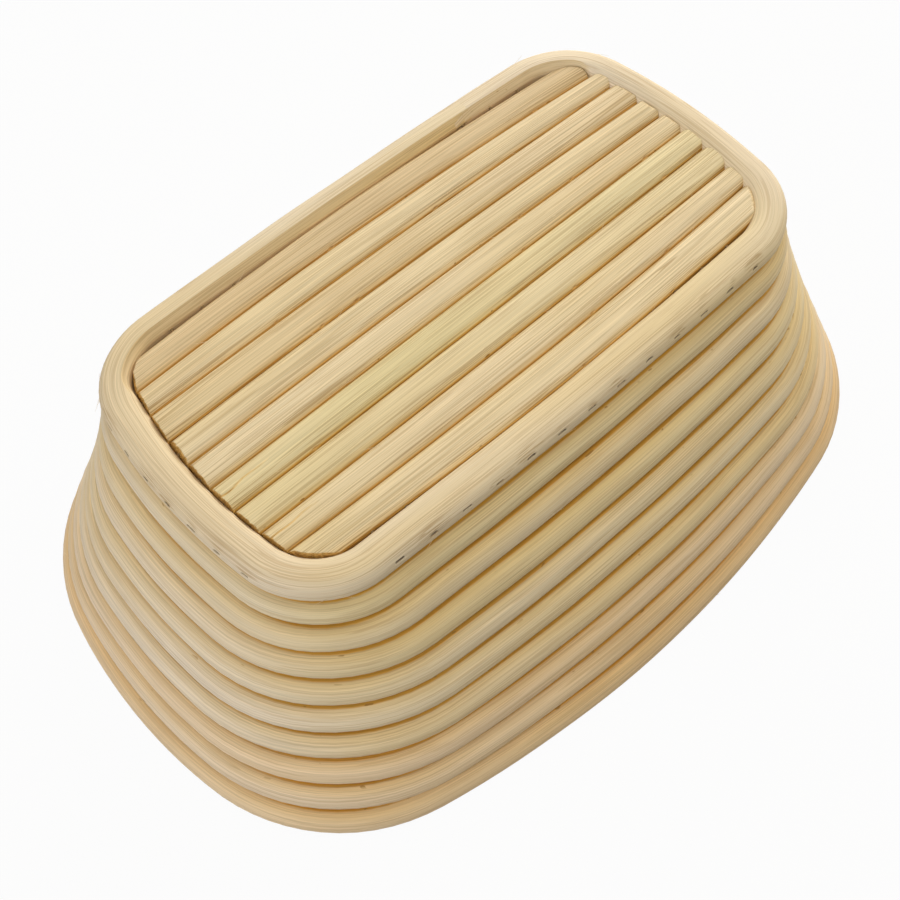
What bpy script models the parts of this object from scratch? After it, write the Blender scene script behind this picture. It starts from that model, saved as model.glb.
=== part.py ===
"""Proofing basket: one long cane wound into a wall round a floor of straight canes, held by brads.

The basket stands upside down on its rim, as it is stored: z = 0 is the plane under the rim, and the floor
is on top. Its long sides run along X. The winding starts and ends on the long side at +Y, where every turn
steps down to the next. Lengths are in metres and angles in degrees.
"""

import math

import bmesh
import bpy
import numpy as np
from mathutils import Matrix, Vector

# Cane of the wall
CANE_DIAMETER = 0.0077
TURN_GAP = 0.0008
TURN_COUNT = 10
CLIMB_INSET = 0.0062
SCARF_GAP = 0.0009

# Floor canes
FLOOR_CANE_COUNT = 9
FLOOR_CANE_DIAMETER = 0.0075
FLOOR_CANE_GAP = 0.0003
FLOOR_LENGTH = 0.1428
FLOOR_SANDING = 0.0004

# Seat of the floor inside the first turn
END_GAP = 0.0004
SIDE_GAP = 0.0003

# Plan of the first turn and of the rim, on the middle line of the cane
FLOOR_CORNER_RADIUS = 0.0174
RIM_CORNER_RADIUS = 0.0453
CORNER_EASE = 0.60
FLOOR_SIDE_ARC_RADIUS = 1.540
RIM_SIDE_ARC_RADIUS = 0.291
FLOOR_END_ARC_RADIUS = 0.137
RIM_END_ARC_RADIUS = 0.134

# Lean of the wall from upright, between neighbouring turns, and how much more than the ends the sides flare
FIRST_LEAN = 16.6
UPPER_LEAN = 26.3
RIM_LEAN = 23.2
SIDE_FLARE = 0.064

# Depth of the flats sanded on the rim and on the first turn
RIM_SANDING = 0.0008
FIRST_TURN_SANDING = 0.0008

# Brads
BRAD_DIAMETER = 0.0012
BRAD_HEAD_DIAMETER = 0.0020
BRAD_HEAD_HEIGHT = 0.0006
BRAD_POINT = 0.0016
BRAD_LENGTH = 0.0125
BRAD_SINK = 0.0012
BRAD_RISE = 0.0010
BRAD_CLEARANCE = 0.0003
FRONT_BRAD_COUNT = 13
FRONT_BRAD_INSET = 0.0183
BACK_BRAD_COUNT = 3
BACK_BRAD_INSET = 0.0040

# Facets
CORNER_STEPS = 4
CLIMB_FRACTIONS = (0.2, 0.4, 0.6, 0.8)
SCARF_POINTS = 3
CANE_BEVEL_RESOLUTION = 1
FLOOR_CANE_SIDES = 16
BRAD_SIDES = 8
PLAN_PASSES = 30
SHARP_ANGLE = 50.0
WELD = 0.000001

# Sizes that follow
CANE_RADIUS = CANE_DIAMETER / 2
TURN_PITCH = CANE_DIAMETER + TURN_GAP
FLOOR_CANE_PITCH = FLOOR_CANE_DIAMETER + FLOOR_CANE_GAP
FLOOR_WIDTH = FLOOR_CANE_COUNT * FLOOR_CANE_PITCH - FLOOR_CANE_GAP
FIRST_HALF_LENGTH = FLOOR_LENGTH / 2 + END_GAP + CANE_RADIUS
FIRST_HALF_WIDTH = FLOOR_WIDTH / 2 + SIDE_GAP + CANE_RADIUS
SIDE_BRAD_PITCH = (FLOOR_LENGTH - 2 * FRONT_BRAD_INSET) / (FRONT_BRAD_COUNT - 1)

# Colours from the photo, in linear light
CANE_COLOUR = (0.72, 0.55, 0.31, 1.0)
FLOOR_COLOUR = (0.66, 0.47, 0.24, 1.0)
BRAD_COLOUR = (0.20, 0.17, 0.14, 1.0)


def blended_radius(first, last, growth):
    """Radius part of the way from a first to a last one, even in curvature."""
    return 1 / ((1 - growth) / first + growth / last)


class Turn:
    """Plan of one turn: bowed sides and ends joined by round corners, all arcs tangent.

    A place on the plan is given by the direction of its outward normal, an angle from +X. The arcs are those
    of the quarter at +X and +Y.
    """

    def __init__(self, step_out, growth, height):
        self.half_length = FIRST_HALF_LENGTH + step_out * (1 - SIDE_FLARE)
        self.half_width = FIRST_HALF_WIDTH + step_out * (1 + SIDE_FLARE)
        self.height = height
        eased = growth * (1 + CORNER_EASE * (1 - growth))
        self.corner_radius = FLOOR_CORNER_RADIUS + (RIM_CORNER_RADIUS - FLOOR_CORNER_RADIUS) * eased
        self.side_radius = blended_radius(FLOOR_SIDE_ARC_RADIUS, RIM_SIDE_ARC_RADIUS, growth)
        self.end_radius = blended_radius(FLOOR_END_ARC_RADIUS, RIM_END_ARC_RADIUS, growth)
        self.side_angle, self.end_angle = self.half_angles()
        self.side_centre = Vector((0.0, self.half_width - self.side_radius))
        self.end_centre = Vector((self.half_length - self.end_radius, 0.0))
        towards = Vector((math.sin(self.side_angle), math.cos(self.side_angle)))
        self.corner_centre = self.side_centre + (self.side_radius - self.corner_radius) * towards
        self.side_end = self.side_centre + self.side_radius * towards
        self.end_end = self.point(self.end_angle)

    def half_angles(self):
        """Half the angles that a side and an end turn through before they run into a corner."""
        side = end = 0.0
        for _ in range(PLAN_PASSES):
            bow = self.end_radius * (1 - math.cos(end))
            across = self.half_length - bow - self.corner_radius * math.cos(end)
            side = math.asin(across / (self.side_radius - self.corner_radius))
            bow = self.side_radius * (1 - math.cos(side))
            along = self.half_width - bow - self.corner_radius * math.cos(side)
            end = math.asin(along / (self.end_radius - self.corner_radius))
        return side, end

    def point(self, normal, inset=0.0):
        """Point of the plan with this outward normal, moved inwards by an inset."""
        direction = Vector((abs(math.cos(normal)), abs(math.sin(normal))))
        angle = math.atan2(direction.y, direction.x)
        if angle <= self.end_angle:
            centre, radius = self.end_centre, self.end_radius
        elif angle >= math.pi / 2 - self.side_angle:
            centre, radius = self.side_centre, self.side_radius
        else:
            centre, radius = self.corner_centre, self.corner_radius
        x, y = centre + (radius - inset) * direction
        return Vector((math.copysign(x, math.cos(normal)), math.copysign(y, math.sin(normal)), self.height))

    def back_normal(self, x):
        """Normal of the back side at a distance from the short axis."""
        return math.acos(x / self.side_radius)

    def level_normals(self, climb_start):
        """Normals of the points where a turn keeps its level, from the climb's end round to its start."""
        normals = []
        half_angles = (self.side_angle, self.end_angle)
        for quarter in range(1, 5):
            before, after = half_angles if quarter % 2 else half_angles[::-1]
            start = quarter * math.pi / 2
            normals.append(start)
            normals += np.linspace(start + before, start + math.pi / 2 - after, CORNER_STEPS + 1).tolist()
        return normals + [self.back_normal(climb_start)]

    def climb_normals(self, climb_start):
        """Normals of the points on the climb, where a turn steps down to the next."""
        return [self.back_normal((1 - fraction) * climb_start) for fraction in CLIMB_FRACTIONS]

    def x_at(self, y):
        """X of the plan's +X end at a distance from the long axis."""
        if abs(y) > self.end_end.y:
            centre, radius = self.corner_centre, self.corner_radius
        else:
            centre, radius = self.end_centre, self.end_radius
        return centre.x + math.sqrt(radius**2 - (abs(y) - centre.y) ** 2)

    def y_at(self, x):
        """Y of the plan's +Y side at a distance from the short axis."""
        if abs(x) > self.side_end.x:
            centre, radius = self.corner_centre, self.corner_radius
        else:
            centre, radius = self.side_centre, self.side_radius
        return centre.y + math.sqrt(radius**2 - (abs(x) - centre.x) ** 2)


def wind_turns():
    """The turns from the floor to the rim, each a pitch from the last along the lean of the wall."""
    leans = np.radians(np.append(FIRST_LEAN, np.linspace(UPPER_LEAN, RIM_LEAN, TURN_COUNT - 2)))
    outwards = np.append(0.0, np.cumsum(TURN_PITCH * np.sin(leans)))
    downwards = np.append(0.0, np.cumsum(TURN_PITCH * np.cos(leans)))
    rim_height = CANE_RADIUS - RIM_SANDING
    heights = rim_height + downwards[-1] - downwards
    growths = outwards / outwards[-1]
    return [Turn(*sizes) for sizes in zip(outwards.tolist(), growths.tolist(), heights.tolist())]


def climb_share(fraction):
    """Share of the step to the next turn that the cane has taken at a fraction of the climb."""
    return fraction * fraction * (3 - 2 * fraction)


def scarf_radius(upper, lower, share):
    """Radius of a scarfed end that fills the wedge left by a neighbour which has moved away by a share."""
    drop = (upper.height - lower.height) * share
    shift = (lower.half_width - upper.half_width) * share
    near, far = CANE_RADIUS + drop, CANE_RADIUS + SCARF_GAP
    return min(CANE_RADIUS, (near**2 + shift**2 - far**2) / (2 * (near + far)))


def climb_start(turns):
    """Distance from the short axis where each turn leaves its level, short of the first turn's corner."""
    return turns[0].side_end.x - CLIMB_INSET


def winding_path(turns):
    """Middle line of the wall's cane with its radius at each point, from scarf to scarf."""
    path = []
    first, last = turns[0], turns[-1]
    start_x = climb_start(turns)
    climb = list(enumerate(CLIMB_FRACTIONS))
    for index, fraction in climb[-SCARF_POINTS:]:
        radius = scarf_radius(first, turns[1], climb_share(fraction))
        lift = Vector((0, 0, CANE_RADIUS - radius))
        path.append((first.point(first.climb_normals(start_x)[index]) + lift, radius))
    for turn, following in zip(turns, turns[1:] + [None]):
        path += [(turn.point(normal), CANE_RADIUS) for normal in turn.level_normals(start_x)]
        if following is None:
            continue
        for index, fraction in climb:
            start = turn.point(turn.climb_normals(start_x)[index])
            finish = following.point(following.climb_normals(start_x)[index])
            path.append((start.lerp(finish, climb_share(fraction)), CANE_RADIUS))
    for index, fraction in climb[:SCARF_POINTS]:
        radius = scarf_radius(turns[-2], last, 1 - climb_share(fraction))
        lift = Vector((0, 0, CANE_RADIUS - radius))
        path.append((last.point(last.climb_normals(start_x)[index]) - lift, radius))
    return path


def least_gap(path):
    """Least bare distance of the winding to itself, measured between points a quarter of a cane apart."""
    points = np.array([point for point, _ in path])
    radii = np.array([radius for _, radius in path])
    runs = np.append(0.0, np.cumsum(np.linalg.norm(np.diff(points, axis=0), axis=1)))
    marks = np.arange(0.0, runs[-1], CANE_RADIUS / 2)
    dense = np.stack([np.interp(marks, runs, points[:, axis]) for axis in range(3)], axis=1)
    thick = np.interp(marks, runs, radii)
    shortest_loop = min(FLOOR_LENGTH, FLOOR_WIDTH)
    gap = math.inf
    for index, mark in enumerate(marks):
        others = marks > mark + shortest_loop
        if others.any():
            apart = np.linalg.norm(dense[others] - dense[index], axis=1) - thick[others] - thick[index]
            gap = min(gap, float(apart.min()))
    return gap


def material(name, colour, roughness, metallic):
    """A Principled BSDF material."""
    made = bpy.data.materials.new(name)
    made.use_nodes = True
    shader = made.node_tree.nodes["Principled BSDF"]
    shader.inputs["Base Color"].default_value = colour
    shader.inputs["Roughness"].default_value = roughness
    shader.inputs["Metallic"].default_value = metallic
    return made


def add_piece(name, mesh, look, parent):
    """A named piece of the basket, shaded smooth with sharp edges kept."""
    mesh.name = name
    mesh.materials.append(look)
    mesh.shade_smooth()
    mesh.set_sharp_from_angle(angle=math.radians(SHARP_ANGLE))
    piece = bpy.data.objects.new(name, mesh)
    bpy.context.collection.objects.link(piece)
    piece.parent = parent
    return piece


def add_cutter(name, mesh):
    """A shape that only cuts others."""
    mesh.name = name
    tool = bpy.data.objects.new(name, mesh)
    bpy.context.collection.objects.link(tool)
    tool.hide_render = True
    tool.display_type = "WIRE"
    return tool


def cut(piece, tool, operation="DIFFERENCE"):
    """Cut a piece by a cutter."""
    boolean = piece.modifiers.new(tool.name, "BOOLEAN")
    boolean.object = tool
    boolean.operation = operation
    boolean.solver = "EXACT"


def finish_mesh(shape):
    """Turn a bmesh into a mesh with its faces pointing out."""
    bmesh.ops.recalc_face_normals(shape, faces=shape.faces)
    mesh = bpy.data.meshes.new("shape")
    shape.to_mesh(mesh)
    shape.free()
    return mesh


def winding_mesh(path):
    """The wound cane as one tube, thinned at both ends."""
    curve = bpy.data.curves.new("winding", "CURVE")
    curve.dimensions = "3D"
    curve.twist_mode = "Z_UP"
    curve.bevel_depth = CANE_RADIUS
    curve.bevel_resolution = CANE_BEVEL_RESOLUTION
    curve.use_fill_caps = True
    spline = curve.splines.new("POLY")
    spline.points.add(len(path) - 1)
    for knot, (point, radius) in zip(spline.points, path):
        knot.co = (*point, 1.0)
        knot.radius = radius / CANE_RADIUS
    holder = bpy.data.objects.new("winding", curve)
    bpy.context.collection.objects.link(holder)
    evaluated = holder.evaluated_get(bpy.context.evaluated_depsgraph_get())
    mesh = bpy.data.meshes.new_from_object(evaluated)
    bpy.data.objects.remove(holder)
    shape = bmesh.new()
    shape.from_mesh(mesh)
    bpy.data.meshes.remove(mesh)
    bmesh.ops.remove_doubles(shape, verts=shape.verts, dist=WELD)
    return finish_mesh(shape)


def slab_mesh(turn, bottom, top):
    """A block wider than a turn, between two heights."""
    shape = bmesh.new()
    bmesh.ops.create_cube(shape, size=2)
    reach = Vector((turn.half_length + CANE_DIAMETER, turn.half_width + CANE_DIAMETER, (top - bottom) / 2))
    bmesh.ops.scale(shape, vec=reach, verts=shape.verts)
    bmesh.ops.translate(shape, vec=(0, 0, (bottom + top) / 2), verts=shape.verts)
    return finish_mesh(shape)


def well_mesh(turn, climb_start_x):
    """The space inside the first turn, less the gap at the ends of the floor canes."""
    normals = turn.level_normals(climb_start_x) + turn.climb_normals(climb_start_x)
    shape = bmesh.new()
    below = Vector((0, 0, FLOOR_CANE_DIAMETER + CANE_DIAMETER))
    corners = [shape.verts.new(turn.point(normal, CANE_RADIUS + END_GAP) - below) for normal in normals]
    base = shape.faces.new(corners)
    raised = bmesh.ops.extrude_face_region(shape, geom=[base])["geom"]
    moved = [part for part in raised if isinstance(part, bmesh.types.BMVert)]
    bmesh.ops.translate(shape, vec=2 * below, verts=moved)
    return finish_mesh(shape)


def floor_cane_mesh(y, height):
    """One straight floor cane, longer than the space that it is trimmed to."""
    shape = bmesh.new()
    radius = FLOOR_CANE_DIAMETER / 2
    turned = Matrix.Translation((0, y, height)) @ Matrix.Rotation(math.pi / 2, 4, "Y")
    turned = turned @ Matrix.Rotation(math.pi / FLOOR_CANE_SIDES, 4, "Z")
    bmesh.ops.create_cone(
        shape, cap_ends=True, segments=FLOOR_CANE_SIDES, radius1=radius, radius2=radius,
        depth=FLOOR_LENGTH + 2 * CANE_DIAMETER, matrix=turned,
    )
    return finish_mesh(shape)


def brad_mesh(place, grown=0.0, opened=0.0):
    """A brad along its own Z, point up, or its hole, grown all round and opened behind the head."""
    shank, head = BRAD_DIAMETER / 2 + grown, BRAD_HEAD_DIAMETER / 2 + grown
    profile = (
        (0.0, -opened), (head, -opened), (head, BRAD_HEAD_HEIGHT + grown), (shank, BRAD_HEAD_HEIGHT + grown),
        (shank, BRAD_LENGTH - BRAD_POINT), (0.0, BRAD_LENGTH + grown),
    )
    shape = bmesh.new()
    line = [shape.verts.new((radius, 0, height)) for radius, height in profile]
    edges = [shape.edges.new(pair) for pair in zip(line, line[1:])]
    bmesh.ops.spin(
        shape, geom=line + edges, cent=(0, 0, 0), axis=(0, 0, 1), angle=2 * math.pi, steps=BRAD_SIDES,
        use_merge=True,
    )
    bmesh.ops.remove_doubles(shape, verts=shape.verts, dist=WELD)
    bmesh.ops.transform(shape, matrix=place, verts=shape.verts)
    return finish_mesh(shape)


def driven(head, towards):
    """Place of a brad whose head's outer face is at a point and which is driven in a direction."""
    turned = Vector(towards).to_track_quat("Z", "Y").to_matrix().to_4x4()
    return Matrix.Translation(head) @ turned


def floor_rows():
    """Distances of the floor canes from the long axis, from the back one to the front one."""
    return [(FLOOR_CANE_COUNT - 1 - 2 * index) * FLOOR_CANE_PITCH / 2 for index in range(FLOOR_CANE_COUNT)]


def brad_places(turn):
    """Names and places of the brads: one into each end of the inner canes, and rows along both sides."""
    height = turn.height + BRAD_RISE
    proud = CANE_RADIUS - BRAD_SINK
    places = {}
    for index, y in enumerate(floor_rows()[1:-1], start=2):
        x = turn.x_at(y) + proud
        places[f"brad_near_end_{index}"] = driven((-x, y, height), (1, 0, 0))
        places[f"brad_far_end_{index}"] = driven((x, y, height), (-1, 0, 0))
    for index in range(FRONT_BRAD_COUNT):
        x = (index - (FRONT_BRAD_COUNT - 1) / 2) * SIDE_BRAD_PITCH
        places[f"brad_front_{index + 1}"] = driven((x, -turn.y_at(x) - proud, height), (0, 1, 0))
    for index in range(BACK_BRAD_COUNT):
        x = turn.side_end.x - BACK_BRAD_INSET - index * SIDE_BRAD_PITCH
        y = turn.y_at(x) + proud
        places[f"brad_back_near_{index + 1}"] = driven((-x, y, height), (0, -1, 0))
        places[f"brad_back_far_{index + 1}"] = driven((x, y, height), (0, -1, 0))
    return places


def joined(meshes):
    """Several meshes as one."""
    shape = bmesh.new()
    for mesh in meshes:
        shape.from_mesh(mesh)
        bpy.data.meshes.remove(mesh)
    together = bpy.data.meshes.new("shape")
    shape.to_mesh(together)
    shape.free()
    return together


def main():
    """Build the basket."""
    for item in list(bpy.data.objects):
        bpy.data.objects.remove(item)
    basket = bpy.data.objects.new("proofing_basket", None)
    bpy.context.collection.objects.link(basket)
    cane_look = material("wall_cane", CANE_COLOUR, 0.6, 0.0)
    floor_look = material("floor_cane", FLOOR_COLOUR, 0.7, 0.0)
    brad_look = material("brad_steel", BRAD_COLOUR, 0.45, 0.9)

    turns = wind_turns()
    first, rim = turns[0], turns[-1]
    floor_top = first.height + CANE_RADIUS - FIRST_TURN_SANDING
    path = winding_path(turns)
    print(f"least gap of the winding to itself: {least_gap(path) * 1000:.2f} mm")

    places = brad_places(first)
    rim_cut = add_cutter("rim_cut", slab_mesh(rim, -CANE_DIAMETER, 0.0))
    floor_cut = add_cutter("floor_cut", slab_mesh(rim, floor_top, floor_top + CANE_DIAMETER))
    well = add_cutter("well", well_mesh(first, climb_start(turns)))
    holes = [brad_mesh(place, BRAD_CLEARANCE, CANE_DIAMETER) for place in places.values()]
    hole_cut = add_cutter("brad_holes", joined(holes))

    wall = add_piece("wound_wall", winding_mesh(path), cane_look, basket)
    for tool in (rim_cut, floor_cut, hole_cut):
        cut(wall, tool)

    cane_height = floor_top + FLOOR_SANDING - FLOOR_CANE_DIAMETER / 2
    for index, y in enumerate(floor_rows(), start=1):
        cane = add_piece(f"floor_cane_{index}", floor_cane_mesh(y, cane_height), floor_look, basket)
        cut(cane, well, "INTERSECT")
        cut(cane, floor_cut)
        cut(cane, hole_cut)

    for name, place in places.items():
        add_piece(name, brad_mesh(place), brad_look, basket)


if __name__ == "__main__":
    main()
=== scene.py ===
"""Cane proofing basket, standing upside down on its rim.

One long cane is wound into the wall, nine straight canes fill the floor, and brads hold the first turn to
the floor. Every surface is worked out with numpy in metres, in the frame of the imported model: z = 0 is under
the rim, the long sides run along X, and the winding starts and ends on the long side at +Y.
"""

import enum
import logging
import math
from dataclasses import dataclass, field

import bpy
import numpy as np
from mathutils import Matrix, Vector


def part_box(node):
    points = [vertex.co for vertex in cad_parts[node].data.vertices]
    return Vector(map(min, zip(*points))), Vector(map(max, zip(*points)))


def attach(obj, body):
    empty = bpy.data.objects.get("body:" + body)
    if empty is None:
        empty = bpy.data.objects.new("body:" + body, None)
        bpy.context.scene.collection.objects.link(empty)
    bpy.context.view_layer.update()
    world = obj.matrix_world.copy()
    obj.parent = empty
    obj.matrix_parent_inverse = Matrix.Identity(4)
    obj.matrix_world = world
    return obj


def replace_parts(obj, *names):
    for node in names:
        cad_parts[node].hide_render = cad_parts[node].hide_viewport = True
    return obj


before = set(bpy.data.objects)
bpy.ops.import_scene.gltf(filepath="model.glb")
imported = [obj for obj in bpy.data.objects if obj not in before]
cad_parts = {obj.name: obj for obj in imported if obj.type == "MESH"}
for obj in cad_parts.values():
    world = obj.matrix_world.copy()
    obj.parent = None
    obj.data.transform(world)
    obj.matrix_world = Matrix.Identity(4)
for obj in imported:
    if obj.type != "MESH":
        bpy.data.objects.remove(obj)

Array = np.ndarray
Colour = tuple[float, float, float]
Span = tuple[float, float]
Socket = bpy.types.NodeSocket

LOG = logging.getLogger("proofing_basket")
BODY = "root"
FIRST_TURN_RISE = 0.0006
UP = np.array([0.0, 0.0, 1.0])
FULL_TURN = 2.0 * np.pi
MILLIMETRES = 1000.0
ANGLE_SAMPLES = 4001
ANGLE_SLACK = 1e-9
LEAST_SQUARE = 1e-8
WHITE = (1.0, 1.0, 1.0)


class Slot(enum.Enum):
    """The record's material slots."""

    WALL = "wall_cane"
    FLOOR = "floor_cane"
    BRAD = "brad_steel"


class Layer(enum.Enum):
    """What a finish reads at each point of a piece."""

    GRAIN = "grain"
    # Painted shade in grooves, nicks, splits and on the pared face.
    GROOVE = "groove"
    TONE = "tone"
    PALLOR = "pallor"
    # End grain; on the wall the pits, painted near-black as their shade; on the brads the shanks.
    CUT = "cut"
    WEAR = "wear"


def smooth(low: float, high: float, values: Array) -> Array:
    """A smooth step: t * t * (3 - 2 t), where t is the share of the way from low to high."""
    share = np.clip((values - low) / (high - low), 0.0, 1.0)
    return share * share * (3.0 - 2.0 * share)


def held_under(values: Array, limit: Array | float, ease: Array | float) -> Array:
    """Values kept under a limit with an eased edge: limit - ease * log(1 + exp((limit - value) / ease))."""
    return limit - ease * np.logaddexp(0.0, (limit - values) / ease)


def wrapped(angles: Array) -> Array:
    """Angles brought to within half a turn of zero."""
    return (angles + np.pi) % FULL_TURN - np.pi


def powered(values: Array, power: float) -> Array:
    """Sizes raised to a power, with their signs kept."""
    return np.sign(values) * np.abs(values) ** power


def unit(vectors: Array) -> Array:
    """Vectors brought to length one."""
    return vectors / np.linalg.norm(vectors, axis=-1, keepdims=True)


@dataclass(frozen=True)
class Wander:
    """A smooth wander along a cane: the mean of sines of several wavelengths, each with a seeded phase."""

    lengths: tuple[float, ...]
    seed: int

    def along(self, run: Array, number: int = 0) -> Array:
        """The wander at some places.

        Args:
            run: Places along a cane, in the unit of the wavelengths.
            number: Number of the cane, added to the seed.

        Returns:
            Values from -1 to 1, one for each place.
        """
        phases = np.random.default_rng(self.seed + number).uniform(0.0, FULL_TURN, len(self.lengths))
        return np.sin(FULL_TURN * run[..., None] / np.array(self.lengths) + phases).mean(axis=-1)


@dataclass(frozen=True)
class Ridges:
    """Lengthwise ridges of a peeled cane: the mean of cosines round the section, with swaying phases."""

    lobes: tuple[int, ...]
    drift: float
    seed: int
    sway: float = 1.3
    stretch: Span = (0.6, 1.7)

    def around(self, run: Array, angles: Array, number: int = 0) -> Array:
        """The ridges at some places.

        Args:
            run: Places along the cane.
            angles: Angles round the section.
            number: Number of the cane, added to the seed.

        Returns:
            Values from -1 to 1, a row for each place and a column for each angle.
        """
        rng = np.random.default_rng(self.seed + number)
        total = np.zeros((len(run), len(angles)))
        for lobe in self.lobes:
            start, turn = rng.uniform(0.0, FULL_TURN, 2)
            drift = self.drift * rng.uniform(*self.stretch)
            phase = start + self.sway * np.sin(FULL_TURN * run / drift + turn)
            total += np.cos(lobe * angles[None, :] + phase[:, None])
        return total / len(self.lobes)


@dataclass(frozen=True)
class Focus:
    """An angle round a section, about which its points lie closer together."""

    angle: float
    gain: float
    spread: float


def section_angles(columns: int, focuses: tuple[Focus, ...]) -> Array:
    """Angles round a section, closer together about some focuses.

    The running sum of a density, 1 + sum of gain * exp(-(away / spread)^2), is cut into equal parts.

    Args:
        columns: Number of angles.
        focuses: Where the angles lie closer together.

    Returns:
        Rising angles from 0 to under a full turn.
    """
    fine = np.linspace(0.0, FULL_TURN, ANGLE_SAMPLES)
    density = np.ones(len(fine))
    for focus in focuses:
        density += focus.gain * np.exp(-((wrapped(fine - focus.angle) / focus.spread) ** 2))
    total = np.append(0.0, np.cumsum((density[1:] + density[:-1]) / 2.0))
    return np.interp(np.linspace(0.0, total[-1], columns, endpoint=False), total, fine)


def placed(name: str, data: bpy.types.ID) -> bpy.types.Object:
    """A new object in the scene."""
    made = bpy.data.objects.new(name, data)
    bpy.context.scene.collection.objects.link(made)
    return made


@dataclass
class Patch:
    """A mesh in the making: its points, faces and the layers that its finish reads."""

    points: Array
    quads: Array
    triangles: Array = field(default_factory=lambda: np.zeros((0, 3), int))
    layers: dict[Layer, Array] = field(default_factory=dict)

    @staticmethod
    def tube_quads(rows: int, columns: int) -> Array:
        """Faces of a grid of rows that closes round its columns, pointing out."""
        row, column = np.meshgrid(np.arange(rows - 1), np.arange(columns), indexing="ij")
        beside = (column + 1) % columns
        corners = (row * columns + column, (row + 1) * columns + column)
        across = ((row + 1) * columns + beside, row * columns + beside)
        return np.stack(corners + across, axis=-1).reshape(-1, 4)

    @staticmethod
    def fan(pole: int, ring: Array) -> Array:
        """Triangles from a pole to each side of a ring."""
        return np.stack([np.full(len(ring), pole), ring, np.roll(ring, -1)], axis=-1)

    @classmethod
    def closed(cls, points: Array, layers: dict[Layer, Array], flipped: bool) -> "Patch":
        """A tube whose first and last rows each become one point, the mean of the row.

        Args:
            points: Rows of points round the tube.
            layers: Values of the layers, in the same rows.
            flipped: Whether the faces are turned over, for rows that run the other way round.

        Returns:
            The closed tube.
        """
        rows, columns = points.shape[:2]
        last = (rows - 2) * columns

        def packed(values: Array) -> Array:
            """Rings first, then the two poles."""
            wide = values.reshape(rows, columns, -1)
            poles = np.stack([wide[0].mean(axis=0), wide[-1].mean(axis=0)])
            return np.concatenate([wide[1:-1].reshape(last, -1), poles]).squeeze()

        ring = np.arange(columns)
        far_fan = cls.fan(last + 1, ring + last - columns)[:, ::-1]
        faces = (cls.tube_quads(rows - 2, columns), np.concatenate([cls.fan(last, ring), far_fan]))
        quads, triangles = (kind[:, ::-1] if flipped else kind for kind in faces)
        layers = {layer: packed(values) for layer, values in layers.items()}
        return cls(packed(points), quads, triangles, layers)

    def add_to_scene(
        self, name: str, finish: bpy.types.Material, slot: Slot, crease: float
    ) -> bpy.types.Object:
        """Make the mesh, shade it smooth with sharp creases, and let it ride on the basket.

        Args:
            name: Name of the piece.
            finish: Its material.
            slot: The record's slot that the finish belongs to; not used.
            crease: Angle in degrees above which an edge stays sharp.

        Returns:
            The new object.
        """
        mesh = bpy.data.meshes.new(name)
        mesh.from_pydata(self.points.tolist(), [], self.quads.tolist() + self.triangles.tolist())
        for layer, values in self.layers.items():
            kind, key = ("FLOAT_VECTOR", "vector") if values.ndim == 2 else ("FLOAT", "value")
            made = mesh.attributes.new(layer.value, kind, "POINT")
            made.data.foreach_set(key, values.astype(np.float32).ravel())
        mesh.shade_smooth()
        mesh.set_sharp_from_angle(angle=math.radians(crease))
        mesh.materials.append(finish)
        mesh.update()
        piece = placed(name, mesh)
        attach(piece, BODY)
        LOG.info("%s: %d points, %d faces", name, len(mesh.vertices), len(mesh.polygons))
        return piece


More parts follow.
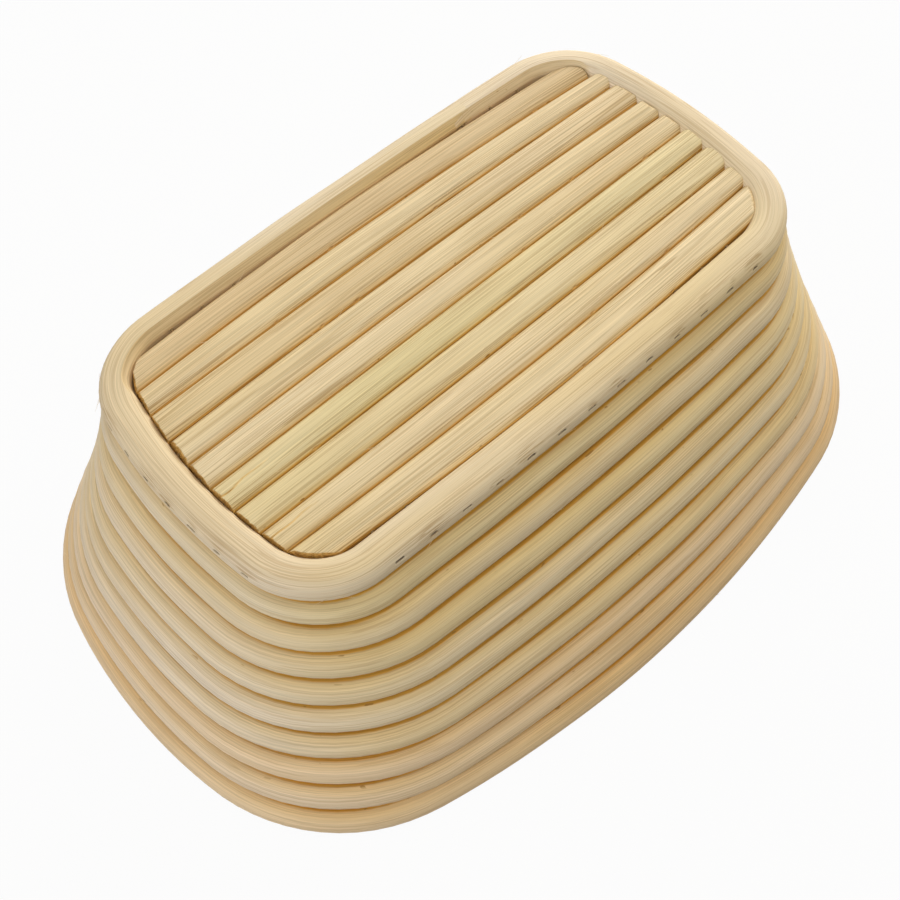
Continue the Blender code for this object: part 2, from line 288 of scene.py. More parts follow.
@dataclass
class WallPlan:
    """Middle lines of the turns, from the floor to the rim.

    A turn's plan has bowed sides and ends joined by round corners, all arcs tangent. A place on a turn is
    the share of the way round it, from the start of the climb on the back side, counter-clockwise from above.
    """

    turns: int = 10
    pitch: float = 0.0085
    first_lean: float = 16.6
    upper_lean: float = 26.3
    rim_lean: float = 23.2
    side_flare: float = 0.064
    first_half_length: float = 0.07565
    first_half_width: float = 0.0391
    rim_height: float = 0.00305
    floor_corner: float = 0.0174
    rim_corner: float = 0.0453
    corner_ease: float = 1.26
    floor_side_bow: float = 1.540
    rim_side_bow: float = 0.291
    floor_end_bow: float = 0.137
    rim_end_bow: float = 0.134
    climb_start: float = 0.0425
    wander: float = 0.00010
    out_wander: Wander = Wander((0.11, 0.067, 0.23), 11)
    up_wander: Wander = Wander((0.13, 0.081, 0.19), 12)
    passes: int = 30

    def __post_init__(self) -> None:
        """Work out each turn's arcs and the shares at which one arc runs into the next."""
        leans = np.append(self.first_lean, np.linspace(self.upper_lean, self.rim_lean, self.turns - 2))
        leans = np.radians(leans)
        outwards = np.append(0.0, np.cumsum(self.pitch * np.sin(leans)))
        self.depth = float((self.pitch * np.cos(leans)).sum())
        growth = outwards / outwards[-1]
        eased = growth * (1.0 + self.corner_ease * (1.0 - growth))
        self.half_length = self.first_half_length + outwards * (1.0 - self.side_flare)
        self.half_width = self.first_half_width + outwards * (1.0 + self.side_flare)
        self.corner = self.floor_corner + (self.rim_corner - self.floor_corner) * eased
        self.side_bow = 1.0 / ((1.0 - growth) / self.floor_side_bow + growth / self.rim_side_bow)
        self.end_bow = 1.0 / ((1.0 - growth) / self.floor_end_bow + growth / self.rim_end_bow)
        self.side, self.end = self._half_angles()
        self.corner_x = (self.side_bow - self.corner) * np.sin(self.side)
        self.corner_y = self.half_width - self.side_bow + (self.side_bow - self.corner) * np.cos(self.side)
        self.breaks = self._breaks()
        self.shares = self._shares()

    def _half_angles(self) -> tuple[Array, Array]:
        """Half the angles that a side and an end turn through, found by passes between the two."""
        side = np.zeros(self.turns)
        end = np.zeros(self.turns)
        for _ in range(self.passes):
            across = self.half_length - self.end_bow * (1.0 - np.cos(end)) - self.corner * np.cos(end)
            side = np.arcsin(across / (self.side_bow - self.corner))
            along = self.half_width - self.side_bow * (1.0 - np.cos(side)) - self.corner * np.cos(side)
            end = np.arcsin(along / (self.end_bow - self.corner))
        return side, end

    def _breaks(self) -> Array:
        """Outward normals, as angles from +X, where each turn's arcs meet, a row for each turn."""
        start = np.arccos(self.climb_start / self.side_bow)
        quarter = np.pi / 2.0
        marks = [start, np.full(self.turns, quarter), quarter + self.side]
        marks += [np.pi - self.end, np.pi + self.end, 3.0 * quarter - self.side, 3.0 * quarter + self.side]
        marks += [FULL_TURN - self.end, FULL_TURN + self.end, 5.0 * quarter - self.side]
        return np.stack(marks + [FULL_TURN + start], axis=1)

    def _shares(self) -> Array:
        """Shares of the way round at which the arcs meet, as mean over the turns."""
        bows = (self.side_bow, self.side_bow, self.corner, self.end_bow, self.corner)
        bows += (self.side_bow, self.corner, self.end_bow, self.corner, self.side_bow)
        lengths = np.diff(self.breaks, axis=1) * np.stack(bows, axis=1)
        self.first_length = float(lengths[0].sum())
        total = np.append(0.0, np.cumsum(lengths.mean(axis=0)))
        return total / total[-1]

    @property
    def climb_end(self) -> float:
        """Share of the way round at which a climb ends."""
        return float(self.shares[1])

    def lines(self, shares: Array) -> tuple[Array, Array, Array]:
        """Middle lines of all turns at some shares.

        On each upright cut through the wall the turns are evenly spaced: the spacing p solves
        sum(sqrt(p^2 - h^2)) = depth over the level steps h between neighbours.

        Args:
            shares: Shares of the way round.

        Returns:
            Points and outward normals, each with a row of places for each turn, and the spacing at each
            place.
        """
        arc = np.clip(np.searchsorted(self.shares, shares, side="right") - 1, 0, len(self.shares) - 2)
        inside = (shares - self.shares[arc]) / (self.shares[arc + 1] - self.shares[arc])
        normal = self.breaks[:, arc] * (1.0 - inside) + self.breaks[:, arc + 1] * inside
        along, across = np.abs(np.cos(normal)), np.abs(np.sin(normal))
        angle = np.arctan2(across, along)
        on_end = angle <= self.end[:, None] + ANGLE_SLACK
        on_side = angle >= np.pi / 2.0 - self.side[:, None] - ANGLE_SLACK
        end_x, side_y = (self.half_length - self.end_bow)[:, None], (self.half_width - self.side_bow)[:, None]
        bent = np.where(on_side, self.side_bow[:, None], self.corner[:, None])
        radius = np.where(on_end, self.end_bow[:, None], bent)
        x = np.where(on_end, end_x, np.where(on_side, 0.0, self.corner_x[:, None]))
        y = np.where(on_end, 0.0, np.where(on_side, side_y, self.corner_y[:, None]))
        x = np.copysign(x + radius * along, np.cos(normal))
        y = np.copysign(y + radius * across, np.sin(normal))
        steps = np.diff(x, axis=0) ** 2 + np.diff(y, axis=0) ** 2
        spacing = np.full(len(shares), self.pitch)
        for _ in range(self.passes):
            drops = np.sqrt(spacing**2 - steps)
            spacing = spacing - (drops.sum(axis=0) - self.depth) / (spacing / drops).sum(axis=0)
        drops = np.sqrt(spacing**2 - steps)
        z = self.rim_height + np.vstack([np.cumsum(drops[::-1], axis=0)[::-1], np.zeros((1, len(shares)))])
        out = np.stack([np.cos(normal), np.sin(normal), np.zeros_like(normal)], axis=-1)
        return np.stack([x, y, z], axis=-1), out, spacing

    def climb(self, shares: Array) -> Array:
        """How far a cane has stepped down from its turn to the next, as a smooth step over the climb."""
        return smooth(0.0, self.climb_end, shares)

    def middle(self, loops: Array, shares: Array) -> tuple[Array, Array]:
        """Middle line of the wound cane, which stays on the first and the last turn beyond its climbs.

        Args:
            loops: Whole loops wound so far at each place.
            shares: Share of the way round at each place.

        Returns:
            Points and outward normals.
        """
        lines, outs, _ = self.lines(shares)
        place = np.arange(len(shares))
        upper = np.clip(loops - 1, 0, self.turns - 1)
        lower = np.clip(loops, 0, self.turns - 1)
        step = self.climb(shares)[:, None]
        points = lines[upper, place] * (1.0 - step) + lines[lower, place] * step
        out = unit(outs[upper, place] * (1.0 - step) + outs[lower, place] * step)
        run = loops + shares
        points = points + out * (self.wander * self.out_wander.along(run))[:, None]
        points[:, 2] += self.wander * self.up_wander.along(run)
        return points, out

    def inner(self, aside: Array, inset: Array | float, axis: int) -> Array:
        """Distance from the middle to the first turn's line, moved in by an inset.

        The line is the arc of the end or the side, centre + sqrt(radius^2 - aside^2), or past it that of
        the corner.

        Args:
            aside: Places across the distance: y for axis 0, and x for axis 1.
            inset: How far the line is moved in.
            axis: 0 for the distance along X to an end, and 1 for that along Y to a side.

        Returns:
            The distances.
        """
        reach = (self.half_length[0], self.half_width[0])[axis]
        bow = (self.end_bow[0], self.side_bow[0])[axis]
        half_angle = (self.end[0], self.side[0])[axis]
        corner = (self.corner_x[0], self.corner_y[0])
        away = np.abs(aside)
        radius = bow - inset
        on_bow = reach - bow + np.sqrt(radius**2 - away**2)
        left = (self.corner[0] - inset) ** 2 - (away - corner[1 - axis]) ** 2
        on_corner = corner[axis] + np.sqrt(np.maximum(left, LEAST_SQUARE))
        return np.where(away <= radius * math.sin(half_angle), on_bow, on_corner)


@dataclass(frozen=True)
class Rings:
    """The rings of points along the wound cane, with the length of cane up to each."""

    loops: Array
    shares: Array
    middle: Array
    out: Array
    run: Array

    @classmethod
    def along(cls, plan: WallPlan, loops: Array, shares: Array) -> "Rings":
        """Rings at some places of the wound cane."""
        middle, out = plan.middle(loops, shares)
        steps = np.linalg.norm(np.diff(middle, axis=0), axis=1)
        return cls(loops, shares, middle, out, np.append(0.0, np.cumsum(steps)))


@dataclass(frozen=True)
class WallLook:
    """How the wall's painted groove shade, tone, pallor with painted light and shade, and wear lie over it."""

    facing: Span = (0.3, 0.95)
    # Where painted shade starts and where it is full, on each side of a groove.
    groove_below: float = 0.88
    groove_above: float = 0.12
    groove_full: float = 0.99
    # More painted shade in the grooves along the front, which lies in shade.
    front_shade_painted: float = 0.25
    front_shade_edge: Span = (0.80, 0.97)
    scarf_fade: float = 1.4
    # Painted shade on the pared face, darker towards the far end.
    face_shade: float = 0.30
    far_face_shade: float = 0.55
    far_face: Span = (-0.05, 0.03)
    face_edge: Span = (0.0, 0.0003)
    low_turns: Span = (5.5, 8.5)
    low_tone: float = 0.75
    plain_tone: float = -0.20
    front_tone: float = -0.25
    tone_sway: float = 0.30
    tone_wander: Wander = Wander((0.31, 0.52, 1.13), 23)
    plain_pallor: float = 0.30
    pallor_sway: float = 0.25
    pallor_wander: Wander = Wander((0.23, 0.71), 24)
    first_pallor: float = 0.10
    # The near end is painted paler for the light on it, and the front less pale for its shade.
    near_light_pallor: float = 0.30
    front_shade_pallor: float = -0.25
    pit_edge: Span = (0.05, 0.45)
    first_wear: float = 0.50
    # Fibre lines painted darker along the front, for the grazing light there.
    front_line_shade: float = 0.45
    line_shade_facing: Span = (0.2, 0.9)
    bruise_seed: int = 42
    bruise_length: float = 0.0050
    bruise_width: float = 0.55
    bruise_stretch: Span = (0.7, 1.5)
    bruise_tilt: Span = (0.25, 0.75)
    bruise_depths: tuple[float, ...] = (0.9, 1.3, 1.7)


@dataclass
class WoundWall:
    """The wall: one cane in ten turns, scarfed at both ends, with a pit at each brad."""

    plan: WallPlan
    heads: list[Vector]
    top: float
    look: WallLook = WallLook()
    segments: tuple[int, ...] = (14, 14, 13, 14, 13, 26, 13, 14, 13, 7)
    columns: int = 56
    focuses: tuple[Focus, ...] = (Focus(0.23, 3.0, 0.14), Focus(1.75, 1.6, 0.40))
    horn_column: int = 3
    crease: float = 38.0
    squeeze: float = 0.00002
    seam: float = 0.000008
    nudge: float = 1e-7
    first_slim: float = 0.985
    slim_edge: Span = (-0.8, 0.0)
    sanding_ease: float = 0.00070
    inner_ease: float = 0.00005
    rim_ease: float = 0.00030
    inner_face: float = 0.00290
    bevel_edge: float = 0.00130
    bevel_depth: float = 0.0021
    face_rise: Span = (-0.0030, -0.0015)
    crisp_inset: Span = (-0.0015, 0.0010)
    back_facing: Span = (0.15, 0.65)
    ridge: float = 0.000016
    ridges: Ridges = Ridges((5, 7, 9, 12), 0.35, 22)
    swell: float = 0.004
    swell_wander: Wander = Wander((0.05, 0.083, 0.21), 21)
    scarf_tip: float = 0.10
    brad_search: int = 6000
    pit_seed: int = 41
    pit_length: float = 0.00105
    pit_width: float = 0.00024
    pit_depth: float = 0.00072
    pit_long: Span = (0.65, 1.05)
    pit_wide: Span = (0.8, 1.3)
    pit_rings: tuple[float, ...] = (-1.3, -1.0, -0.75, -0.35, 0.0, 0.35, 0.75, 1.0, 1.3)

    def brad_shares(self) -> Array:
        """Shares of the way round the first turn at which the brads' heads lie."""
        dense = np.linspace(0.0, 1.0, self.brad_search, endpoint=False)
        lines, _, _ = self.plan.lines(dense)
        heads = np.array(self.heads)[:, None, :2]
        return dense[np.linalg.norm(lines[0][None, :, :2] - heads, axis=2).argmin(axis=1)]

    def ring_places(self) -> tuple[Array, Array]:
        """Loops and shares of every ring along the cane, closer together at the brads."""
        plan = self.plan
        spans = zip(plan.shares[:-1], plan.shares[1:], self.segments)
        level = np.concatenate([np.linspace(low, high, count, endpoint=False) for low, high, count in spans])
        close = self.brad_shares()[:, None] + np.array(self.pit_rings) * self.pit_length / plan.first_length
        first = np.concatenate([level, close.ravel()])
        tip = self.scarf_tip * plan.climb_end
        first = np.unique(np.append(first[first > tip], tip).round(7))
        last = np.linspace(0.0, plan.climb_end - tip, self.segments[0])
        shares = np.concatenate([first, np.tile(level, plan.turns - 1), last])
        counts = [len(first)] + [len(level)] * (plan.turns - 1) + [len(last)]
        return np.repeat(np.arange(plan.turns + 1), counts), shares

    def pits(self, rings: Rings, angles: Array, radius: Array) -> Array:
        """Shape of the pits round the brads: exp(-(along / length)^4 - (across / width)^4) for each.

        Args:
            rings: The rings along the cane.
            angles: Angles round the section.
            radius: Radius of the cane at each ring.

        Returns:
            Share of a pit's depth, a row for each ring and a column for each angle.
        """
        rng = np.random.default_rng(self.pit_seed)
        depth = np.zeros((len(rings.run), len(angles)))
        first = np.nonzero(rings.loops == 0)[0]
        shares, run = rings.shares[first], rings.run[first]
        for share, head in zip(self.brad_shares(), self.heads):
            height = np.interp(share, shares, rings.middle[first, 2])
            thick = np.interp(share, shares, radius[first])
            tilt = math.asin((head.z - height) / thick)
            away = run - np.interp(share, shares, run)
            along = away / self.pit_length / rng.uniform(*self.pit_long)
            across = wrapped(angles - tilt) * thick / self.pit_width / rng.uniform(*self.pit_wide)
            hollow = np.exp(-(along[:, None] ** 4) - across[None, :] ** 4)
            depth[first] = np.maximum(depth[first], hollow)
        return depth

    def early(self, rings: Rings) -> Array:
        """How much of the first turn's look a ring has: all of it, then less down the first climb."""
        after = np.where(rings.loops == 1, 1.0 - self.plan.climb(rings.shares), 0.0)
        return np.where(rings.loops == 0, 1.0, after)

    def wear(self, rings: Rings, angles: Array) -> Array:
        """Wear of the first turn, fibre lines painted darker along the front for its grazing light, and
        bruises round the brads.

        Each bruise is exp(-(along / length)^2 - (across / width)^2).

        Args:
            rings: The rings along the cane.
            angles: Angles round the section.

        Returns:
            Wear, a row for each ring and a column for each angle.
        """
        look = self.look
        rng = np.random.default_rng(look.bruise_seed)
        # Fibre lines are painted darker along the front, for the grazing light that falls there.
        front = look.front_line_shade * smooth(*look.line_shade_facing, -rings.out[:, 1])
        level = np.maximum(look.first_wear * self.early(rings), front)
        worn = level[:, None] * np.ones(len(angles))
        first = np.nonzero(rings.loops == 0)[0]
        shares, run = rings.shares[first], rings.run[first]
        for share in self.brad_shares():
            away = run - np.interp(share, shares, run)
            along = (away / look.bruise_length / rng.uniform(*look.bruise_stretch)) ** 2
            across = (wrapped(angles - rng.uniform(*look.bruise_tilt)) / look.bruise_width) ** 2
            bruise = rng.choice(look.bruise_depths) * np.exp(-along[:, None] - across[None, :])
            worn[first] = np.maximum(worn[first], bruise)
        return worn

    @property
    def first_radius(self) -> float:
        """Radius of the first turn's cane."""
        return self.first_slim * self.plan.pitch / 2.0

    def reach(self, rise: Array) -> Array:
        """How far the round of the first turn reaches inside its middle line at some heights over it."""
        return np.sqrt(np.maximum(self.first_radius**2 - np.maximum(rise, 0.0) ** 2, 0.0))

    def back_share(self, facing: Array) -> Array:
        """How far the first turn is pared inside, from the Y part of its outward normal."""
        return smooth(*self.back_facing, facing)

    def pared(self, points: Array, line: Array, out: Array) -> Array:
        """Pare a bevel on the inside of the first turn along the back, and sand the top and the rim.

        Args:
            points: Points round each ring.
            line: The first turn's middle line beside each ring.
            out: Outward normal of each ring.

        Returns:
            The points after paring and sanding.
        """
        inset = np.einsum("rck,rk->rc", line[:, None] - points, out)
        rise = points[..., 2] - line[:, None, 2]
        sunk = np.clip((self.top - points[..., 2]) / self.bevel_depth, 0.0, 1.0)
        face = self.bevel_edge + (self.inner_face - self.bevel_edge) * sunk
        along_back = self.back_share(out[:, 1])[:, None]
        back = along_back * smooth(*self.face_rise, rise)
        full = self.plan.pitch / 2.0 + self.plan.pitch * (back == 0.0)
        excess = np.maximum(inset - full + (full - face) * back, 0.0)
        points = points + excess[..., None] * out[:, None]
        crisp = smooth(*self.crisp_inset, inset - excess) * along_back
        ease = self.sanding_ease + (self.inner_ease - self.sanding_ease) * crisp
        points[..., 2] = held_under(points[..., 2], self.top, ease)
        points[..., 2] = -held_under(-points[..., 2], 0.0, self.rim_ease)
        return points

    def pressed(self, offset: Array, towards: Array, gap: Array, scarfed: Array, radius: Array) -> Array:
        """Flatten the sections where they press on a neighbour.

        With a the distance of a point towards the neighbour's middle and b its distance to the side, a stays
        under half the gap, or on a scarf under gap - sqrt(radius^2 - b^2), the neighbour's round.

        Args:
            offset: Points round each ring, from its middle.
            towards: Unit vectors from each ring's middle to the neighbour's.
            gap: Distances between the middles, or infinity with no neighbour.
            scarfed: Whether the ring is cut away for its neighbour.
            radius: Radius of the neighbour at each ring.

        Returns:
            The flattened points, from the ring's middle.
        """
        depth = np.einsum("rck,rk->rc", offset, towards)
        beside = np.linalg.norm(offset - depth[..., None] * towards[:, None, :], axis=2)
        round_edge = np.sqrt(np.maximum(radius[:, None] ** 2 - beside**2, 0.0))
        limit = np.where(scarfed[:, None], gap[:, None] - round_edge, gap[:, None] / 2.0) - self.seam
        excess = np.maximum(depth - limit, 0.0)
        return offset - excess[..., None] * towards[:, None, :]

    def neighbour(self, step: int, rings: Rings) -> tuple[Array, Array]:
        """Where the next turn below or above lies from each ring.

        Args:
            step: 1 for the turn below, -1 for the turn above.
            rings: The rings along the cane.

        Returns:
            Unit vectors towards the neighbour, and distances to it, infinite with no neighbour.
        """
        plan = self.plan
        lines, _, _ = plan.lines(rings.shares)
        beside = rings.loops + step
        nudge = self.nudge * step * (lines[1] - lines[0])
        apart = plan.middle(beside, rings.shares)[0] - rings.middle + nudge
        gap = np.linalg.norm(apart, axis=1)
        climbing = rings.shares < plan.climb_end
        alone = (beside < 0) | (beside > plan.turns)
        alone |= (beside == plan.turns) & ~climbing
        alone |= (rings.loops == (plan.turns - 1 if step > 0 else 1)) & climbing
        return apart / gap[:, None], np.where(alone, np.inf, gap)

    def radius(self, rings: Rings, gaps: list[Array]) -> Array:
        """Radius of the cane at each ring: half the widest gap to a neighbour, a little swollen."""
        _, _, spacing = self.plan.lines(rings.shares)
        widest = np.max([np.where(np.isinf(gap), 0.0, gap) for gap in gaps], axis=0)
        plain = np.maximum(spacing, widest) / 2.0 + self.squeeze
        return plain * (1.0 + self.swell * (1.0 + self.swell_wander.along(rings.run)))

    def groove(self, step: int, rings: Rings, depth: Array, gap: Array) -> Array:
        """Painted shade of the groove beside one neighbour, more of it along the front, and faded in past a
        scarf.

        Args:
            step: 1 for the turn below, -1 for the turn above.
            rings: The rings along the cane.
            depth: Share of the radius that each point reaches towards the neighbour.
            gap: Distances to the neighbour, infinite with none.

        Returns:
            Stain, a row for each ring and a column for each angle.
        """
        look = self.look
        climb_end = self.plan.climb_end
        front = smooth(*look.facing, -rings.out[:, 1])
        near = smooth(look.groove_below if step > 0 else look.groove_above, look.groove_full, depth)
        # More painted shade in the grooves along the front.
        near = near + look.front_shade_painted * front[:, None] * smooth(*look.front_shade_edge, depth)
        by_scarf = rings.loops == (0 if step > 0 else 1)
        fade = np.where(by_scarf, smooth(climb_end, look.scarf_fade * climb_end, rings.shares), 1.0)
        return np.where(np.isinf(gap), 0.0, fade)[:, None] * near

    def face_shade(self, whole: Array, points: Array) -> Array:
        """Painted shade of the pared face, from the points before and after paring, darker towards the far
        end.
        """
        look = self.look
        moved = np.linalg.norm((points - whole)[..., :2], axis=2)
        dull = look.face_shade + look.far_face_shade * smooth(*look.far_face, points[..., 0])
        return dull * smooth(*look.face_edge, moved)

    def layers(
        self, rings: Rings, angles: Array, thick: Array, pits: Array, groove: Array
    ) -> dict[Layer, Array]:
        """What the wall's finish reads.

        Args:
            rings: The rings along the cane.
            angles: Angles round the section.
            thick: Distance of each point from its ring's middle before pressing.
            pits: Share of a pit's depth at each point.
            groove: Painted shade of the grooves and the pared face at each point.

        Returns:
            Values by layer, one for each point.
        """
        look = self.look
        low = smooth(*look.low_turns, rings.loops + rings.shares)
        near = smooth(*look.facing, -rings.out[:, 0])
        front = smooth(*look.facing, -rings.out[:, 1])
        tone = look.low_tone * low + look.plain_tone + look.tone_sway * look.tone_wander.along(rings.run)
        tone = tone + look.front_tone * front * (1.0 - low)
        pallor = look.plain_pallor + look.pallor_sway * look.pallor_wander.along(rings.run)
        pallor = pallor + (look.first_pallor - pallor) * self.early(rings)
        # Painted light makes the near end paler, and painted shade makes the front less pale.
        pallor = np.clip(pallor + look.near_light_pallor * near + look.front_shade_pallor * front, 0.0, 1.0)
        by_ring = (rings.run, tone, pallor)
        run, tone, pallor = (np.broadcast_to(values[:, None], thick.shape) for values in by_ring)
        grain = np.stack([run, thick * np.cos(angles), thick * np.sin(angles)], axis=-1)
        return {
            Layer.GRAIN: grain.reshape(-1, 3),
            Layer.GROOVE: groove.ravel(),
            Layer.TONE: tone.ravel(),
            Layer.PALLOR: pallor.ravel(),
            # The pits take the wall's near-black end colour, a painted shade.
            Layer.CUT: smooth(*look.pit_edge, pits).ravel(),
            Layer.WEAR: self.wear(rings, angles).ravel(),
        }

    def build(self, finish: bpy.types.Material) -> bpy.types.Object:
        """Carry the round section along the cane, press it on its neighbours, sand it and close its ends."""
        plan = self.plan
        rings = Rings.along(plan, *self.ring_places())
        angles = section_angles(self.columns, self.focuses)
        neighbours = {step: self.neighbour(step, rings) for step in (1, -1)}
        radius = self.radius(rings, [gap for _, gap in neighbours.values()])
        pits = self.pits(rings, angles, radius)
        slim = (1.0 - self.first_slim) * self.early(rings)[:, None] * smooth(*self.slim_edge, np.sin(angles))
        bumps = self.ridge * self.ridges.around(rings.run, angles)
        thick = radius[:, None] * (1.0 - slim) + bumps - self.pit_depth * pits
        rays = np.cos(angles)[None, :, None] * rings.out[:, None, :] + np.sin(angles)[None, :, None] * UP
        offset = thick[..., None] * rays
        # The groove layer holds painted shade: in the grooves, along the front and on the pared face.
        groove = np.zeros(thick.shape)
        climbing = rings.shares < plan.climb_end
        for step, (towards, gap) in neighbours.items():
            scarfed = (rings.loops == (0 if step > 0 else plan.turns)) & climbing
            offset = self.pressed(offset, towards, gap, scarfed, radius)
            depth = np.einsum("rck,rk->rc", offset, towards) / radius[:, None]
            groove = np.maximum(groove, self.groove(step, rings, depth, gap))
        whole = rings.middle[:, None, :] + offset
        lines, _, _ = plan.lines(rings.shares)
        points = self.pared(whole, lines[0], rings.out)
        # Painted shade on the pared face.
        groove = np.maximum(groove, self.face_shade(whole, points))
        rows = len(rings.run)
        caps = [self.end_cap(0, True), self.end_cap(rows - 1, False)]
        quads = np.concatenate([Patch.tube_quads(rows, self.columns), *caps])
        layers = self.layers(rings, angles, thick, pits, groove)
        patch = Patch(points.reshape(-1, 3), quads, layers=layers)
        piece = patch.add_to_scene("cane_wall", finish, Slot.WALL, self.crease)
        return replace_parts(piece, "wound_wall")

    def end_cap(self, row: int, first: bool) -> Array:
        """Faces across a scarf's thin tip, which join the columns in pairs from one horn to the other."""
        ring = np.roll(np.arange(self.columns), -self.horn_column) + row * self.columns
        half = self.columns // 2
        left, right = ring[:half], ring[::-1][:half]
        faces = np.stack([left[:-1], left[1:], right[1:], right[:-1]], axis=-1)
        return faces if first else faces[:, ::-1]


@dataclass(frozen=True)
class CaneChance:
    """What differs by chance from one floor cane to the next."""

    nicks: Array
    rounding: float
    split_angle: float
    lift: float
    slant: float
    skew: float
    sanding: float
    pallor: float

    @classmethod
    def drawn(cls, seed: int) -> "CaneChance":
        """Draw the values of one cane, in the order of the fields."""
        rng = np.random.default_rng(seed)
        return cls(
            nicks=rng.uniform(0.12, 0.92, 2),
            rounding=rng.uniform(0.00010, 0.00030),
            split_angle=rng.uniform(1.2, 1.8),
            lift=rng.uniform(-0.0001, 0.0001),
            slant=rng.uniform(0.3, 1.3),
            skew=rng.uniform(0.0, 0.04),
            sanding=rng.uniform(0.0, 0.00025),
            pallor=rng.uniform(0.0, 0.4),
        )


@dataclass(frozen=True)
class Stations:
    """Rows of points along a floor cane: share of its length, shift from there and scale of the section."""

    share: Array
    shift: Array
    scale: Array


@dataclass(frozen=True)
class FloorLook:
    """How the floor canes' tone, cuts, painted groove shade and wear lie over them, with painted light at the
    far end.
    """

    tones: tuple[float, ...] = (0.75, 0.25, 0.45, 0.10, 0.20, -0.55, -0.30, 0.15, 0.05)
    tone_sway: float = 0.22
    tone_wander: Wander = Wander((0.07, 0.12, 0.26), 700)
    grain_step: float = 0.37
    cut_scale: float = 0.98
    trim_scale: float = 0.80
    trim_stain: float = 0.35
    # Splits take the end-grain colour and painted shade.
    split_cut_and_shade: float = 0.9
    # Painted shade towards each cane's flanks, in the grooves.
    groove_edge: Span = (0.60, 1.0)
    groove_scale: float = 0.9
    plain_wear: float = 0.10
    end_wear: float = 0.3
    worn_end: float = 0.007
    side_wear: float = 0.5
    side_edge: Span = (0.25, 0.85)
    # Painted light: each cane paler towards the far end, where more light falls.
    far_light_pallor: float = 0.3


